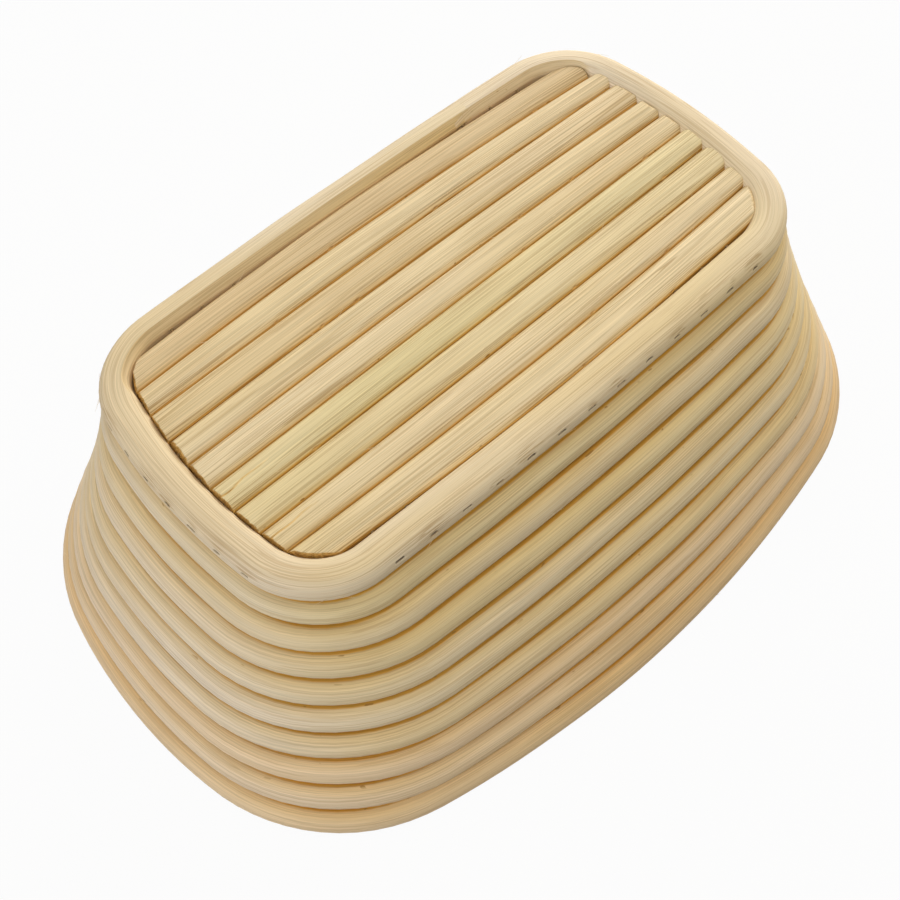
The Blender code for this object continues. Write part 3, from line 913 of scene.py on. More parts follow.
@dataclass
class FloorCanes:
    """The floor: nine straight canes, knife-cut along the first turn's near end and trimmed at its far end.

    The edges and the far insets are in millimetres, from the back cane to the front one.
    """

    plan: WallPlan
    wall: WoundWall
    top: float
    nodes: list[str]
    look: FloorLook = FloorLook()
    seed: int = 100
    radius: float = 0.00390
    drop: float = 0.0037
    columns: int = 80
    body_rows: int = 96
    bend_rows: int = 7
    crease: float = 50.0
    near_gap: float = 0.00005
    far_gap: float = 0.00004
    far_slope: float = 1.2
    slant: float = 0.00060
    slant_rise: Span = (0.0012, 0.0036)
    squareness: float = 0.92
    press: float = 1.10
    near_edges: tuple[float, ...] = (35.0, 27.15, 19.8, 11.85, 4.35, -3.55, -11.2, -18.9, -26.3, -34.2)
    middle_edges: tuple[float, ...] = (36.05, 27.9, 20.25, 12.3, 4.7, -3.1, -10.85, -18.8, -26.6, -35.0)
    far_edges: tuple[float, ...] = (35.0, 26.75, 19.9, 11.8, 4.55, -2.8, -10.3, -18.3, -25.5, -34.1)
    far_insets: tuple[float, ...] = (2.8, 2.75, 3.7, 4.2, 4.1, 3.3, 2.75, 3.5, 4.3)
    edge_x: float = 0.052
    cap_scales: tuple[float, ...] = (0.0, 0.35, 0.65, 0.88, 0.97)
    start_shifts: tuple[float, ...] = (0.00010, 0.0004, 0.0010, 0.0018)
    body_span: Span = (0.02, 0.985)
    ragged: float = 0.00016
    ragged_inside: float = 0.3
    ragged_scale: float = 0.5
    ragged_stretch: float = 9.0
    ragged_ridges: Ridges = Ridges((7, 11, 17, 23), 0.05, 600)
    ridge: float = 0.000006
    ridges: Ridges = Ridges((9, 14, 19, 25), 0.3, 300)
    swell: float = 0.010
    swell_wander: Wander = Wander((0.06, 0.09, 0.17), 200)
    sanding_ease: float = 0.00030
    foot_side: Span = (0.3, 1.0)
    foot_rise: Span = (0.0022, 0.0006)
    splits: tuple[int, ...] = (6, 8)
    split_length: float = 0.0130
    split_depth: float = 0.00060
    split_width: float = 0.00016
    split_sway: float = 0.10
    split_wander: Wander = Wander((0.009, 0.016), 400)
    split_gain: float = 5.0
    split_spread: float = 0.15
    nick_length: float = 0.00080
    nick_width: float = 0.00030
    nick_depth: float = 0.00035
    nick_rings: tuple[float, ...] = (-1.4, -0.7, 0.0, 0.7, 1.4)
    nick_focus: Focus = Focus(2.62, 1.5, 0.25)

    @property
    def length(self) -> float:
        """Length of the first turn's middle line from end to end."""
        return float(2.0 * self.plan.half_length[0])

    def build(self, finish: bpy.types.Material) -> list[bpy.types.Object]:
        """Make the canes one by one, from the back to the front."""
        made = []
        for index, node in enumerate(self.nodes, start=1):
            patch = self.cane(index)
            piece = patch.add_to_scene(f"cane_floor_{index}", finish, Slot.FLOOR, self.crease)
            made.append(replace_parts(piece, node))
        return made

    def edges(self, index: int | Array, x: Array) -> tuple[Array, Array]:
        """Back and front edges of a cane along its length, bent through their near, middle and far places."""
        share = x / self.edge_x
        rows = (self.near_edges, self.middle_edges, self.far_edges)
        near, middle, far = (np.array(row) / MILLIMETRES for row in rows)
        lean, bend = (far - near) / 2.0, (far + near) / 2.0 - middle
        back, front = (middle[i] + lean[i] * share + bend[i] * share**2 for i in (index - 1, index))
        return back, front

    def stations(self, chance: CaneChance) -> Stations:
        """Rows of points along a cane: the cut face, the body with its nicks, the rounded far end."""
        cap = np.array(self.cap_scales)
        start = np.array(self.start_shifts)
        nicks = chance.nicks[:, None] + np.array(self.nick_rings) * self.nick_length / self.length
        body = np.unique(np.append(np.linspace(*self.body_span, self.body_rows), nicks.ravel()))
        bend = np.linspace(0.0, np.pi / 2.0, self.bend_rows)
        far_cap = cap[-2::-1]
        rounding = chance.rounding
        rounded = 1.0 - (1.0 - np.cos(bend)) * rounding / self.radius
        face = 1.0 - rounding / self.radius
        at_end = np.ones(len(bend) + len(far_cap))
        share = np.concatenate([0.0 * cap, 0.0 * start, body, at_end])
        bent = rounding * (np.sin(bend) - 1.0)
        shift = np.concatenate([0.0 * cap, start, 0.0 * body, bent, 0.0 * far_cap])
        whole = np.ones(len(start) + len(body))
        return Stations(share, shift, np.concatenate([cap, whole, rounded, face * far_cap]))

    def split(self, index: int, run: Array, angles: Array, focus: float) -> Array:
        """Shape of a split from the near end: exp(-(away / width)^2), which fades along its length."""
        bend = focus + self.split_sway * self.split_wander.along(run, index)
        away = wrapped(angles[None, :] - bend[:, None]) * self.radius / self.split_width
        fade = np.sqrt(np.clip(1.0 - run / self.split_length, 0.0, 1.0))
        return fade[:, None] * np.exp(-(away**2)) * float(index in self.splits)

    def nicks(self, run: Array, angles: Array, places: Array) -> Array:
        """Shape of the small nicks on the front flank: exp(-(along / length)^2 - (across / width)^2)."""
        along = (run[:, None] - places * self.length) / self.nick_length
        across = (angles - self.nick_focus.angle) * self.radius / self.nick_width
        return np.exp(-(along**2)).max(axis=1)[:, None] * np.exp(-(across**2))[None, :]

    def section(self, angles: Array) -> tuple[Array, Array]:
        """A pressed round: the signed cosine and sine, each raised to the squareness."""
        return powered(np.cos(angles), self.squareness), powered(np.sin(angles), self.squareness)

    def foot(self, index: int, run: Array, across: Array, above: Array) -> Array:
        """How far the low part of an outermost cane reaches on to touch the first turn beside it.

        Args:
            index: Number of the cane, from the back.
            run: Places along the cane.
            across: Share of the half width, -1 at the front edge and 1 at the back edge.
            above: Height over the cane's middle.

        Returns:
            Shifts along Y, a row for each place.
        """
        side = float(index == 1) - float(index == len(self.nodes))
        inset = self.wall.inner_face if side > 0.0 else self.wall.first_radius
        x = run - self.length / 2.0
        within = x * (1.0 - 2.0 * self.wall.first_radius / self.length)
        line = self.plan.inner(within, inset + self.near_gap, 1)
        missing = np.maximum(line - np.max(np.abs(self.edges(index, x)), axis=0), 0.0)
        shift = side * missing[:, None] * smooth(*self.foot_side, side * across)
        return shift * smooth(*self.foot_rise, above)

    def ends(
        self, index: int, y: Array, local: tuple[Array, Array], chance: CaneChance
    ) -> tuple[Array, Array]:
        """Where the near cut and the far trim lie along X, on the first turn's curve.

        Args:
            index: Number of the cane, from the back.
            y: Y of each point.
            local: Y and Z of each point from the cane's middle.
            chance: What differs by chance.

        Returns:
            X of the near and the far end at each point.
        """
        plan, wall = self.plan, self.wall
        local_y, local_z = local
        middle = self.top - self.drop + chance.lift
        leaning = self.slant * chance.slant * smooth(*self.slant_rise, local_z)
        leaning = leaning + (local_y + self.radius) * chance.skew
        pared = wall.back_share((y - plan.corner_y[0]) / plan.corner[0])
        beside = wall.first_radius * (1.0 - pared) + wall.inner_face * pared
        near = leaning - plan.inner(y, beside + self.near_gap, 0)
        rise = local_z + middle - plan.rim_height - plan.depth
        sunk = np.maximum(self.top - middle - local_z, 0.0)
        inset = self.far_insets[index - 1] / MILLIMETRES - self.far_slope * sunk
        far = plan.inner(y, np.maximum(wall.reach(rise), inset) + self.far_gap, 0)
        return near, far

    def roughness(self, index: int, run: Array, angles: Array, rows: Stations) -> Array:
        """Shifts along X that make the near cut ragged, most of all at its edge."""
        rough = self.ragged_ridges.around(run * self.ragged_stretch, angles, index)
        size = np.where(rows.scale > self.ragged_scale, self.ragged, self.ragged_inside * self.ragged)
        return rough * size[:, None] * (rows.share[:, None] == 0.0)

    def cane(self, index: int) -> Patch:
        """One cane: a round section carried along X, its ends cut to the first turn's curve.

        Args:
            index: Number of the cane, from the back.

        Returns:
            The cane's points and faces.
        """
        look = self.look
        chance = CaneChance.drawn(self.seed + index)
        rows = self.stations(chance)
        share, shift, scale = rows.share[:, None], rows.shift[:, None], rows.scale[:, None]
        split_focus = Focus(chance.split_angle, self.split_gain, self.split_spread)
        angles = section_angles(self.columns, (split_focus, self.nick_focus))
        run = rows.share * self.length + rows.shift
        thick = self.radius * (1.0 + self.swell * self.swell_wander.along(run, index))
        thick = thick[:, None] + self.ridge * self.ridges.around(run, angles, index)
        split = self.split(index, run, angles, chance.split_angle)
        nicks = self.nicks(run, angles, chance.nicks)
        thick = thick - self.split_depth * split - self.nick_depth * nicks
        back, front = self.edges(index, run - self.length / 2.0)
        half = (back - front)[:, None] / 2.0 - self.far_gap
        across, above = self.section(angles)
        local_y = np.clip(self.press * thick / self.radius * across, -1.0, 1.0) * half * scale
        local_z = thick * scale * above
        y = (back + front)[:, None] / 2.0 + local_y + self.foot(index, run, local_y / half, local_z)
        near, far = self.ends(index, y, (local_y, local_z), chance)
        x = near + (far - near) * share + shift + self.roughness(index, run, angles, rows)
        middle = self.top - self.drop + chance.lift
        z = held_under(local_z + middle, self.top - chance.sanding, self.sanding_ease)
        grain = np.stack([x + look.grain_step * index, local_y, local_z], axis=-1)
        # Nicks and splits get the end-grain colour, and painted shade through the groove layer.
        flaws = np.maximum(nicks, look.split_cut_and_shade * split)
        layers = self.layers(index, rows, run, np.abs(local_y) / half, flaws)
        # Each cane is painted paler towards the far end, for the light from that side.
        layers[Layer.PALLOR] = chance.pallor + look.far_light_pallor * share + 0.0 * x
        layers[Layer.GRAIN] = grain
        return Patch.closed(np.stack([x, y, z], axis=-1), layers, flipped=True)

    def layers(
        self, index: int, rows: Stations, run: Array, aside: Array, flaws: Array
    ) -> dict[Layer, Array]:
        """Cuts, painted groove shade, tone and wear of one cane.

        Args:
            index: Number of the cane, from the back.
            rows: Its rows of points.
            run: Places along the cane.
            aside: Share of the half width at which each point lies.
            flaws: How far each point lies in a nick or a split.

        Returns:
            Values by layer, a row for each row of points.
        """
        look = self.look
        near_half = rows.share < 0.5
        trim = smooth(look.cut_scale, look.trim_scale, rows.scale) * (rows.share > 0.5) * look.trim_stain
        cut = np.where((rows.scale < look.cut_scale) & near_half, 1.0, trim)
        # Painted shade towards the flanks, where each cane meets the next.
        groove = smooth(*look.groove_edge, aside) * (rows.scale > look.groove_scale)[:, None]
        from_end = np.minimum(rows.share, 1.0 - rows.share) * self.length
        wear = look.plain_wear + look.end_wear * np.exp(-from_end / look.worn_end)
        tone = look.tones[index - 1] + look.tone_sway * look.tone_wander.along(run, index)
        return {
            # Painted shade in the grooves, nicks and splits.
            Layer.GROOVE: np.maximum(groove, flaws),
            Layer.TONE: tone[:, None] + 0.0 * aside,
            Layer.CUT: np.maximum(cut[:, None], flaws),
            Layer.WEAR: wear[:, None] + look.side_wear * smooth(*look.side_edge, aside),
        }


@dataclass(frozen=True)
class BradPlace:
    """Where a packed brad's head lies and which way it is driven."""

    head: Vector
    inwards: Vector


@dataclass
class Brads:
    """Slim brads whose flat heads sit in pits of the first turn."""

    places: dict[str, BradPlace]
    cover: float = 0.0015
    sink: float = 0.00060
    head_long: float = 0.00145
    head_wide: float = 0.00050
    head_deep: float = 0.00060
    edge_long: float = 0.46
    edge_wide: float = 0.42
    shank: float = 0.00070
    shank_flat: float = 0.5
    ring_depths: tuple[float, ...] = (0.0, 0.00004, 0.00055, 0.00065, 0.0090)
    length: float = 0.0125
    tip_long: float = 0.0002
    tip_wide: float = 0.0001
    sides: int = 12
    squareness: float = 0.6
    crease: float = 40.0

    def profile(self) -> tuple[Array, Array, Array]:
        """Depth along the brad, and half sizes along and across the grain, for each ring."""
        depth = np.array([*self.ring_depths, self.length])
        slim = self.shank / 2.0
        flat = slim * self.shank_flat
        head_along = [self.head_long * self.edge_long, self.head_long / 2.0, self.head_long / 2.0]
        head_across = [self.head_wide * self.edge_wide, self.head_wide / 2.0, self.head_wide / 2.0]
        along = np.array(head_along + [slim, slim, self.tip_long])
        across = np.array(head_across + [flat, flat, self.tip_wide])
        return depth, along, across

    def build(self, finish: bpy.types.Material) -> list[bpy.types.Object]:
        """Make each brad as a loft of rounded squares, the cosine and sine raised to the squareness."""
        depth, along, across = self.profile()
        angles = np.linspace(0.0, FULL_TURN, self.sides, endpoint=False)
        wide = powered(np.cos(angles), self.squareness)
        tall = powered(np.sin(angles), self.squareness)
        # The shank below the head is dark brown: rust, and a painted shade that matches the shaded cane round
        # it.
        shade_and_stain = np.repeat(depth > self.head_deep, self.sides).reshape(-1, self.sides)
        shade_and_stain = np.pad(shade_and_stain, ((1, 1), (0, 0)), mode="edge")
        made = []
        for node, place in self.places.items():
            axis = np.array(place.inwards)
            grain = np.cross(axis, UP)
            base = np.array(place.head - place.inwards * self.cover) + axis * self.sink
            rings = base + depth[:, None, None] * axis
            rings = rings + along[:, None, None] * wide[None, :, None] * grain
            rings = rings + across[:, None, None] * tall[None, :, None] * UP
            rows = np.pad(rings, ((1, 1), (0, 0), (0, 0)), mode="edge")
            patch = Patch.closed(rows, {Layer.CUT: shade_and_stain}, flipped=False)
            piece = patch.add_to_scene(node.replace("brad", "pin"), finish, Slot.BRAD, self.crease)
            made.append(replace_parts(piece, node))
        return made


@dataclass
class LooseFibres:
    """Fine fibres that stand off the canes: thin tapered strands, rooted just under the surface."""

    floor: FloorCanes
    wall: WoundWall
    seed: int = 77
    floor_count: int = 70
    wall_count: int = 44
    first_share: float = 0.3
    longest: float = 0.0050
    shortest: float = 0.0012
    floor_reach: float = 0.067
    floor_tilt: Span = (0.55, 1.05)
    wall_tilt: Span = (-0.4, 0.5)
    root_depth: float = 0.0002
    sanded_depth: float = 0.0004
    wall_root: float = 0.00410
    lift: Span = (0.10, 0.45)
    curl: Span = (-0.35, 0.35)
    thick: float = 0.000055
    taper: float = 0.75
    rings: int = 7
    sides: int = 4
    crease: float = 60.0

    def floor_roots(self, rng: np.random.Generator) -> tuple[Array, Array, Array]:
        """Roots, normals and grain directions on the floor canes' shoulders."""
        floor = self.floor
        index = rng.integers(1, len(floor.nodes) + 1, self.floor_count)
        side = rng.choice([-1.0, 1.0], self.floor_count)
        tilt = rng.uniform(*self.floor_tilt, self.floor_count)
        x = rng.uniform(-self.floor_reach, self.floor_reach, self.floor_count)
        back, front = floor.edges(index, x)
        across, above = floor.section(tilt)
        y = (back + front) / 2.0 + side * across * (back - front) / 2.0
        z = floor.top - floor.drop + floor.radius * above - self.root_depth
        normal = np.stack([0.0 * tilt, side * np.cos(tilt), np.sin(tilt)], axis=1)
        grain = np.stack([rng.choice([-1.0, 1.0], self.floor_count), 0.0 * tilt, 0.0 * tilt], axis=1)
        return np.stack([x, y, np.minimum(z, floor.top - self.sanded_depth)], axis=1), normal, grain

    def wall_roots(self, rng: np.random.Generator) -> tuple[Array, Array, Array]:
        """Roots, normals and grain directions on the wound turns, away from the back."""
        plan = self.wall.plan
        shares = rng.uniform(plan.shares[2], plan.shares[9], self.wall_count)
        loops = rng.integers(0, plan.turns, self.wall_count)
        loops = np.where(rng.random(self.wall_count) < self.first_share, 0, loops)
        middle, out = plan.middle(loops, shares)
        tilt = rng.uniform(*self.wall_tilt, self.wall_count)[:, None]
        normal = out * np.cos(tilt) + UP * np.sin(tilt)
        grain = np.cross(UP, out) * rng.choice([-1.0, 1.0], (self.wall_count, 1))
        return middle + normal * self.wall_root, normal, grain

    def build(self, finish: bpy.types.Material) -> bpy.types.Object:
        """Grow each fibre along root + grain * t + normal * lift * t^1.5 + side * curl * t^2, as one mesh."""
        rng = np.random.default_rng(self.seed)
        groups = zip(self.floor_roots(rng), self.wall_roots(rng))
        root, normal, grain = (np.concatenate(pair) for pair in groups)
        count = len(root)
        side = np.cross(grain, normal)
        share = np.linspace(0.0, 1.0, self.rings)[None, :, None]
        length = rng.uniform(self.shortest, self.longest, (count, 1, 1))
        lift = rng.uniform(*self.lift, (count, 1, 1))
        curl = rng.uniform(*self.curl, (count, 1, 1))
        line = grain[:, None] * share + normal[:, None] * lift * share**1.5 + side[:, None] * curl * share**2
        line = root[:, None] + length * line
        ahead = unit(np.gradient(line, axis=1))
        first = unit(np.cross(ahead, normal[:, None]))
        second = np.cross(first, ahead)
        turn = np.linspace(0.0, FULL_TURN, self.sides, endpoint=False)
        radius = self.thick * (1.0 - self.taper * share)[..., None]
        ring = first[:, :, None] * np.cos(turn)[:, None] + second[:, :, None] * np.sin(turn)[:, None]
        points = (line[:, :, None] + radius * ring).reshape(-1, 3)
        starts = np.arange(count)[:, None, None] * self.rings * self.sides
        tube = Patch.tube_quads(self.rings, self.sides)
        cap = np.arange(self.sides)
        ends = np.stack([cap, cap[::-1] + (self.rings - 1) * self.sides])
        patch = Patch(points, (np.concatenate([tube, ends])[None] + starts).reshape(-1, 4))
        grains = np.broadcast_to(line[:, :, None], (count, self.rings, self.sides, 3))
        patch.layers = {layer: np.zeros(len(points)) for layer in Layer}
        patch.layers[Layer.GRAIN] = grains.reshape(-1, 3)
        patch.layers[Layer.PALLOR] = np.ones(len(points))
        return patch.add_to_scene("loose_fibres", finish, Slot.FLOOR, self.crease)


@dataclass(frozen=True)
class Fleck:
    """A noise drawn out along the fibres: its scales along and across them, its detail and its roughness."""

    along: float
    across: float
    detail: float = 0.0
    rough: float = 0.5


class NodeSheet:
    """Adds nodes to a node tree and joins them."""

    def __init__(self, tree: bpy.types.NodeTree) -> None:
        """Start on a tree."""
        self.tree = tree

    def feed(self, node: bpy.types.Node, inputs: dict) -> None:
        """Give a node its inputs, as values or as sockets to join, by input name or number."""
        for key, value in inputs.items():
            if isinstance(value, Socket):
                self.tree.links.new(value, node.inputs[key])
            else:
                node.inputs[key].default_value = value

    def add(self, kind: str, inputs: dict, **settings: object) -> bpy.types.Node:
        """A node with its settings, and its inputs given as values or as sockets to join.

        Args:
            kind: Type of the node.
            inputs: Values or sockets by input name or number.
            settings: Properties of the node.

        Returns:
            The new node.
        """
        node = self.tree.nodes.new(kind)
        for name, value in settings.items():
            setattr(node, name, value)
        self.feed(node, inputs)
        return node

    def math(self, operation: str, first: Socket | float, second: Socket | float = 0.0) -> Socket:
        """The result of a sum on two values."""
        return self.add("ShaderNodeMath", {0: first, 1: second}, operation=operation).outputs[0]

    def plus(self, first: Socket | float, second: Socket | float) -> Socket:
        """Two values added."""
        return self.math("ADD", first, second)

    def minus(self, first: Socket | float, second: Socket | float) -> Socket:
        """The second value taken from the first."""
        return self.math("SUBTRACT", first, second)

    def times(self, first: Socket | float, second: Socket | float) -> Socket:
        """Two values multiplied."""
        return self.math("MULTIPLY", first, second)

    def most(self, first: Socket | float, second: Socket | float) -> Socket:
        """The larger of two values."""
        return self.math("MAXIMUM", first, second)

    def mix(self, share: Socket | float, first: object, second: object, blend: str = "MIX") -> Socket:
        """Two colours mixed."""
        inputs = {0: share, 6: first, 7: second}
        return self.add("ShaderNodeMix", inputs, data_type="RGBA", blend_type=blend).outputs[2]

    def tinted(self, first: object, second: object) -> Socket:
        """Two colours multiplied."""
        return self.mix(1.0, first, second, "MULTIPLY")

    def noise(self, vector: Socket, fleck: Fleck) -> Socket:
        """Smooth noise on coordinates that are scaled along and across the fibres."""
        scale = (fleck.along, fleck.across, fleck.across)
        scaled = self.add("ShaderNodeVectorMath", {0: vector, 1: scale}, operation="MULTIPLY").outputs[0]
        inputs = {"Vector": scaled, "Scale": 1.0, "Detail": fleck.detail, "Roughness": fleck.rough}
        return self.add("ShaderNodeTexNoise", inputs).outputs[0]

    def ramp(self, value: Socket, edge: Span, results: Span = (0.0, 1.0)) -> Socket:
        """A smooth step of a value over an edge, between two results."""
        inputs = dict(enumerate((value, *edge, *results)))
        return self.add("ShaderNodeMapRange", inputs, interpolation_type="SMOOTHSTEP").outputs[0]

    def layer(self, layer: Layer) -> Socket:
        """What one of a piece's layers holds."""
        node = self.add("ShaderNodeAttribute", {}, attribute_name=layer.value)
        return node.outputs["Vector" if layer is Layer.GRAIN else "Fac"]

    def seen(self) -> Socket:
        """One for rays from the camera, in reflections and through glass, and zero for light that bounces."""
        rays = self.add("ShaderNodeLightPath", {}).outputs
        seen = self.most(rays["Is Camera Ray"], rays["Is Glossy Ray"])
        return self.most(seen, rays["Is Transmission Ray"])


def solid(colour: Colour) -> tuple[float, float, float, float]:
    """A colour with nothing seen through it."""
    return (*colour, 1.0)


def new_finish(name: str) -> tuple[bpy.types.Material, NodeSheet, bpy.types.Node]:
    """A new material, the sheet of its nodes and its shader."""
    made = bpy.data.materials.new(name)
    made.use_nodes = True
    return made, NodeSheet(made.node_tree), made.node_tree.nodes["Principled BSDF"]


@dataclass(frozen=True)
class CaneGrain:
    """The node group of peeled cane: tone, streaks, fine fibres, dark vessel lines, painted groove shade and
    end grain.
    """

    broad: Fleck = Fleck(12.0, 80.0, 1.0)
    band: Fleck = Fleck(9.0, 1600.0, 1.0, 0.6)
    fine: Fleck = Fleck(34.0, 3800.0, 1.0, 0.6)
    patchy: Fleck = Fleck(18.0, 330.0, 2.0)
    fibre: Fleck = Fleck(34.0, 3000.0)
    hair: Fleck = Fleck(60.0, 4600.0)
    check: Fleck = Fleck(6.0, 300.0)
    checked: Fleck = Fleck(11.0, 90.0)
    scuff: Fleck = Fleck(140.0, 3000.0, 1.0)
    speck: Fleck = Fleck(430.0, 1100.0)
    pore: Fleck = Fleck(200.0, 2400.0, 2.0)
    straw_edge: Span = (0.32, 0.68)
    ruddy_edge: Span = (0.0, 1.0)
    ruddy_share: float = 0.85
    green_edge: Span = (0.0, -1.0)
    streak_band: float = 0.15
    streak_fine: float = 1.85
    streak_plain: float = 0.75
    fibre_edge: Span = (0.41, 0.34)
    hair_edge: Span = (0.41, 0.33)
    hair_share: float = 0.8
    patchy_edge: Span = (0.30, 0.60)
    patchy_share: Span = (0.40, 1.0)
    line_plain: float = 0.5
    check_middle: float = 0.5
    check_edge: Span = (0.012, 0.004)
    checked_edge: Span = (0.56, 0.66)
    scuff_edge: Span = (0.52, 0.60)
    scuff_wear: Span = (0.9, 1.3)
    scuff_share: float = 0.7
    # Painted shade in the grooves: a broad wash, and a darker seam where the canes meet.
    groove_shade_share: float = 0.55
    seam_shade_edge: Span = (0.86, 1.0)
    seam_shade_share: Span = (0.0, 0.95)
    # A grey painted shade in the deepest grooves along the front.
    front_shade_edge: Span = (0.95, 1.25)
    front_shade_share: Span = (0.0, 0.40)
    painted_front_shade: Colour = (0.52, 0.50, 0.48)
    speck_edge: Span = (0.79, 0.83)
    speck_groove: Span = (0.7, 0.95)
    pore_edge: Span = (0.45, 0.62)
    pore_shade: Colour = (0.70, 0.62, 0.55)
    rough_plain: float = 0.46
    rough_fine: float = 0.22
    rough_groove: float = 0.12
    height_band: float = 0.15
    height_fine: float = 0.35
    height_lines: float = 0.45
    height_pores: float = 1.5

    COLOURS = ("Pale", "Straw", "Ruddy", "Green", "Vessel", "Shade", "End")
    SHARES = ("Groove", "Tone", "Pallor", "Cut", "Wear", "Streak", "Vessels")
    OUTPUTS = (("Color", "NodeSocketColor"), ("Roughness", "NodeSocketFloat"), ("Height", "NodeSocketFloat"))

    def build(self) -> bpy.types.NodeTree:
        """Make the group once."""
        tree = bpy.data.node_groups.new("peeled_cane", "ShaderNodeTree")
        inputs = [("Grain", "NodeSocketVector")]
        inputs += [(name, "NodeSocketFloat") for name in self.SHARES]
        inputs += [(name, "NodeSocketColor") for name in self.COLOURS]
        for direction, sockets in (("INPUT", inputs), ("OUTPUT", self.OUTPUTS)):
            for name, kind in sockets:
                tree.interface.new_socket(name, in_out=direction, socket_type=kind)
        sheet = NodeSheet(tree)
        given = sheet.add("NodeGroupInput", {}).outputs
        band = sheet.noise(given["Grain"], self.band)
        fine = sheet.noise(given["Grain"], self.fine)
        pores = sheet.ramp(sheet.noise(given["Grain"], self.pore), self.pore_edge)
        lines = self.lines(sheet, given)
        colour = self.streaked(sheet, given, band, fine)
        colour = sheet.mix(lines, colour, given["Vessel"])
        # Painted shade in the grooves, and dark specks.
        colour = self.shade_and_stain(sheet, given, colour)
        end = sheet.mix(pores, given["End"], sheet.tinted(given["End"], solid(self.pore_shade)))
        colour = sheet.mix(given["Cut"], colour, end)
        rough = sheet.plus(sheet.times(fine, self.rough_fine), self.rough_plain)
        rough = sheet.plus(rough, sheet.times(given["Groove"], self.rough_groove))
        height = sheet.plus(sheet.times(band, self.height_band), sheet.times(fine, self.height_fine))
        height = sheet.minus(height, sheet.times(lines, self.height_lines))
        pitted = sheet.times(sheet.times(pores, given["Cut"]), self.height_pores)
        sheet.add("NodeGroupOutput", {0: colour, 1: rough, 2: sheet.minus(height, pitted)})
        return tree

    def lines(self, sheet: NodeSheet, given: bpy.types.NodeOutputs) -> Socket:
        """Dark lines along the grain: fibres, hairs and checks, and scuffs where the cane is bruised."""
        grain = given["Grain"]
        fibres = sheet.ramp(sheet.noise(grain, self.fibre), self.fibre_edge)
        hairs = sheet.ramp(sheet.noise(grain, self.hair), self.hair_edge)
        lines = sheet.most(fibres, sheet.times(hairs, self.hair_share))
        patches = sheet.ramp(sheet.noise(grain, self.patchy), self.patchy_edge, self.patchy_share)
        lines = sheet.times(lines, patches)
        lines = sheet.times(lines, sheet.plus(given["Wear"], self.line_plain))
        check = sheet.math("ABSOLUTE", sheet.minus(sheet.noise(grain, self.check), self.check_middle))
        checked = sheet.ramp(sheet.noise(grain, self.checked), self.checked_edge)
        check = sheet.times(sheet.ramp(check, self.check_edge), checked)
        lines = sheet.times(sheet.most(lines, check), given["Vessels"])
        scuffs = sheet.ramp(sheet.noise(grain, self.scuff), self.scuff_edge)
        scuffs = sheet.times(scuffs, sheet.ramp(given["Wear"], self.scuff_wear))
        return sheet.most(lines, sheet.times(scuffs, self.scuff_share))

    def streaked(self, sheet: NodeSheet, given: bpy.types.NodeOutputs, band: Socket, fine: Socket) -> Socket:
        """The cane's own colour, in broad patches of pale and straw, with fine streaks."""
        broad = sheet.ramp(sheet.noise(given["Grain"], self.broad), self.straw_edge)
        straw = sheet.times(broad, sheet.minus(1.0, given["Pallor"]))
        colour = sheet.mix(straw, given["Pale"], given["Straw"])
        ruddy = sheet.times(sheet.ramp(given["Tone"], self.ruddy_edge), self.ruddy_share)
        colour = sheet.mix(ruddy, colour, given["Ruddy"])
        colour = sheet.mix(sheet.ramp(given["Tone"], self.green_edge), colour, given["Green"])
        streak = sheet.plus(sheet.times(band, self.streak_band), sheet.times(fine, self.streak_fine))
        streak = sheet.times(sheet.minus(streak, 1.0), given["Streak"])
        streak = sheet.times(streak, sheet.plus(given["Pallor"], self.streak_plain))
        value = sheet.plus(streak, 1.0)
        grey = sheet.add("ShaderNodeCombineColor", {0: value, 1: value, 2: value}).outputs[0]
        return sheet.tinted(colour, grey)

    def shade_and_stain(self, sheet: NodeSheet, given: bpy.types.NodeOutputs, colour: Socket) -> Socket:
        """A colour with painted groove shade: a broad wash, a darker seam, grey along the front; and dark
        specks.
        """
        groove, shade = given["Groove"], given["Shade"]
        # A broad painted shade towards each groove.
        colour = sheet.mix(sheet.times(groove, self.groove_shade_share), colour, sheet.tinted(colour, shade))
        # A darker painted shade at the seam where the canes meet.
        seam = sheet.ramp(groove, self.seam_shade_edge, self.seam_shade_share)
        colour = sheet.mix(seam, colour, sheet.tinted(colour, sheet.tinted(shade, shade)))
        # A grey painted shade in the grooves along the front.
        painted_front_shade = sheet.ramp(groove, self.front_shade_edge, self.front_shade_share)
        colour = sheet.mix(painted_front_shade, colour, sheet.tinted(colour, solid(self.painted_front_shade)))
        specks = sheet.ramp(sheet.noise(given["Grain"], self.speck), self.speck_edge)
        specks = sheet.times(specks, sheet.ramp(groove, self.speck_groove))
        return sheet.mix(specks, colour, sheet.tinted(given["Vessel"], shade))


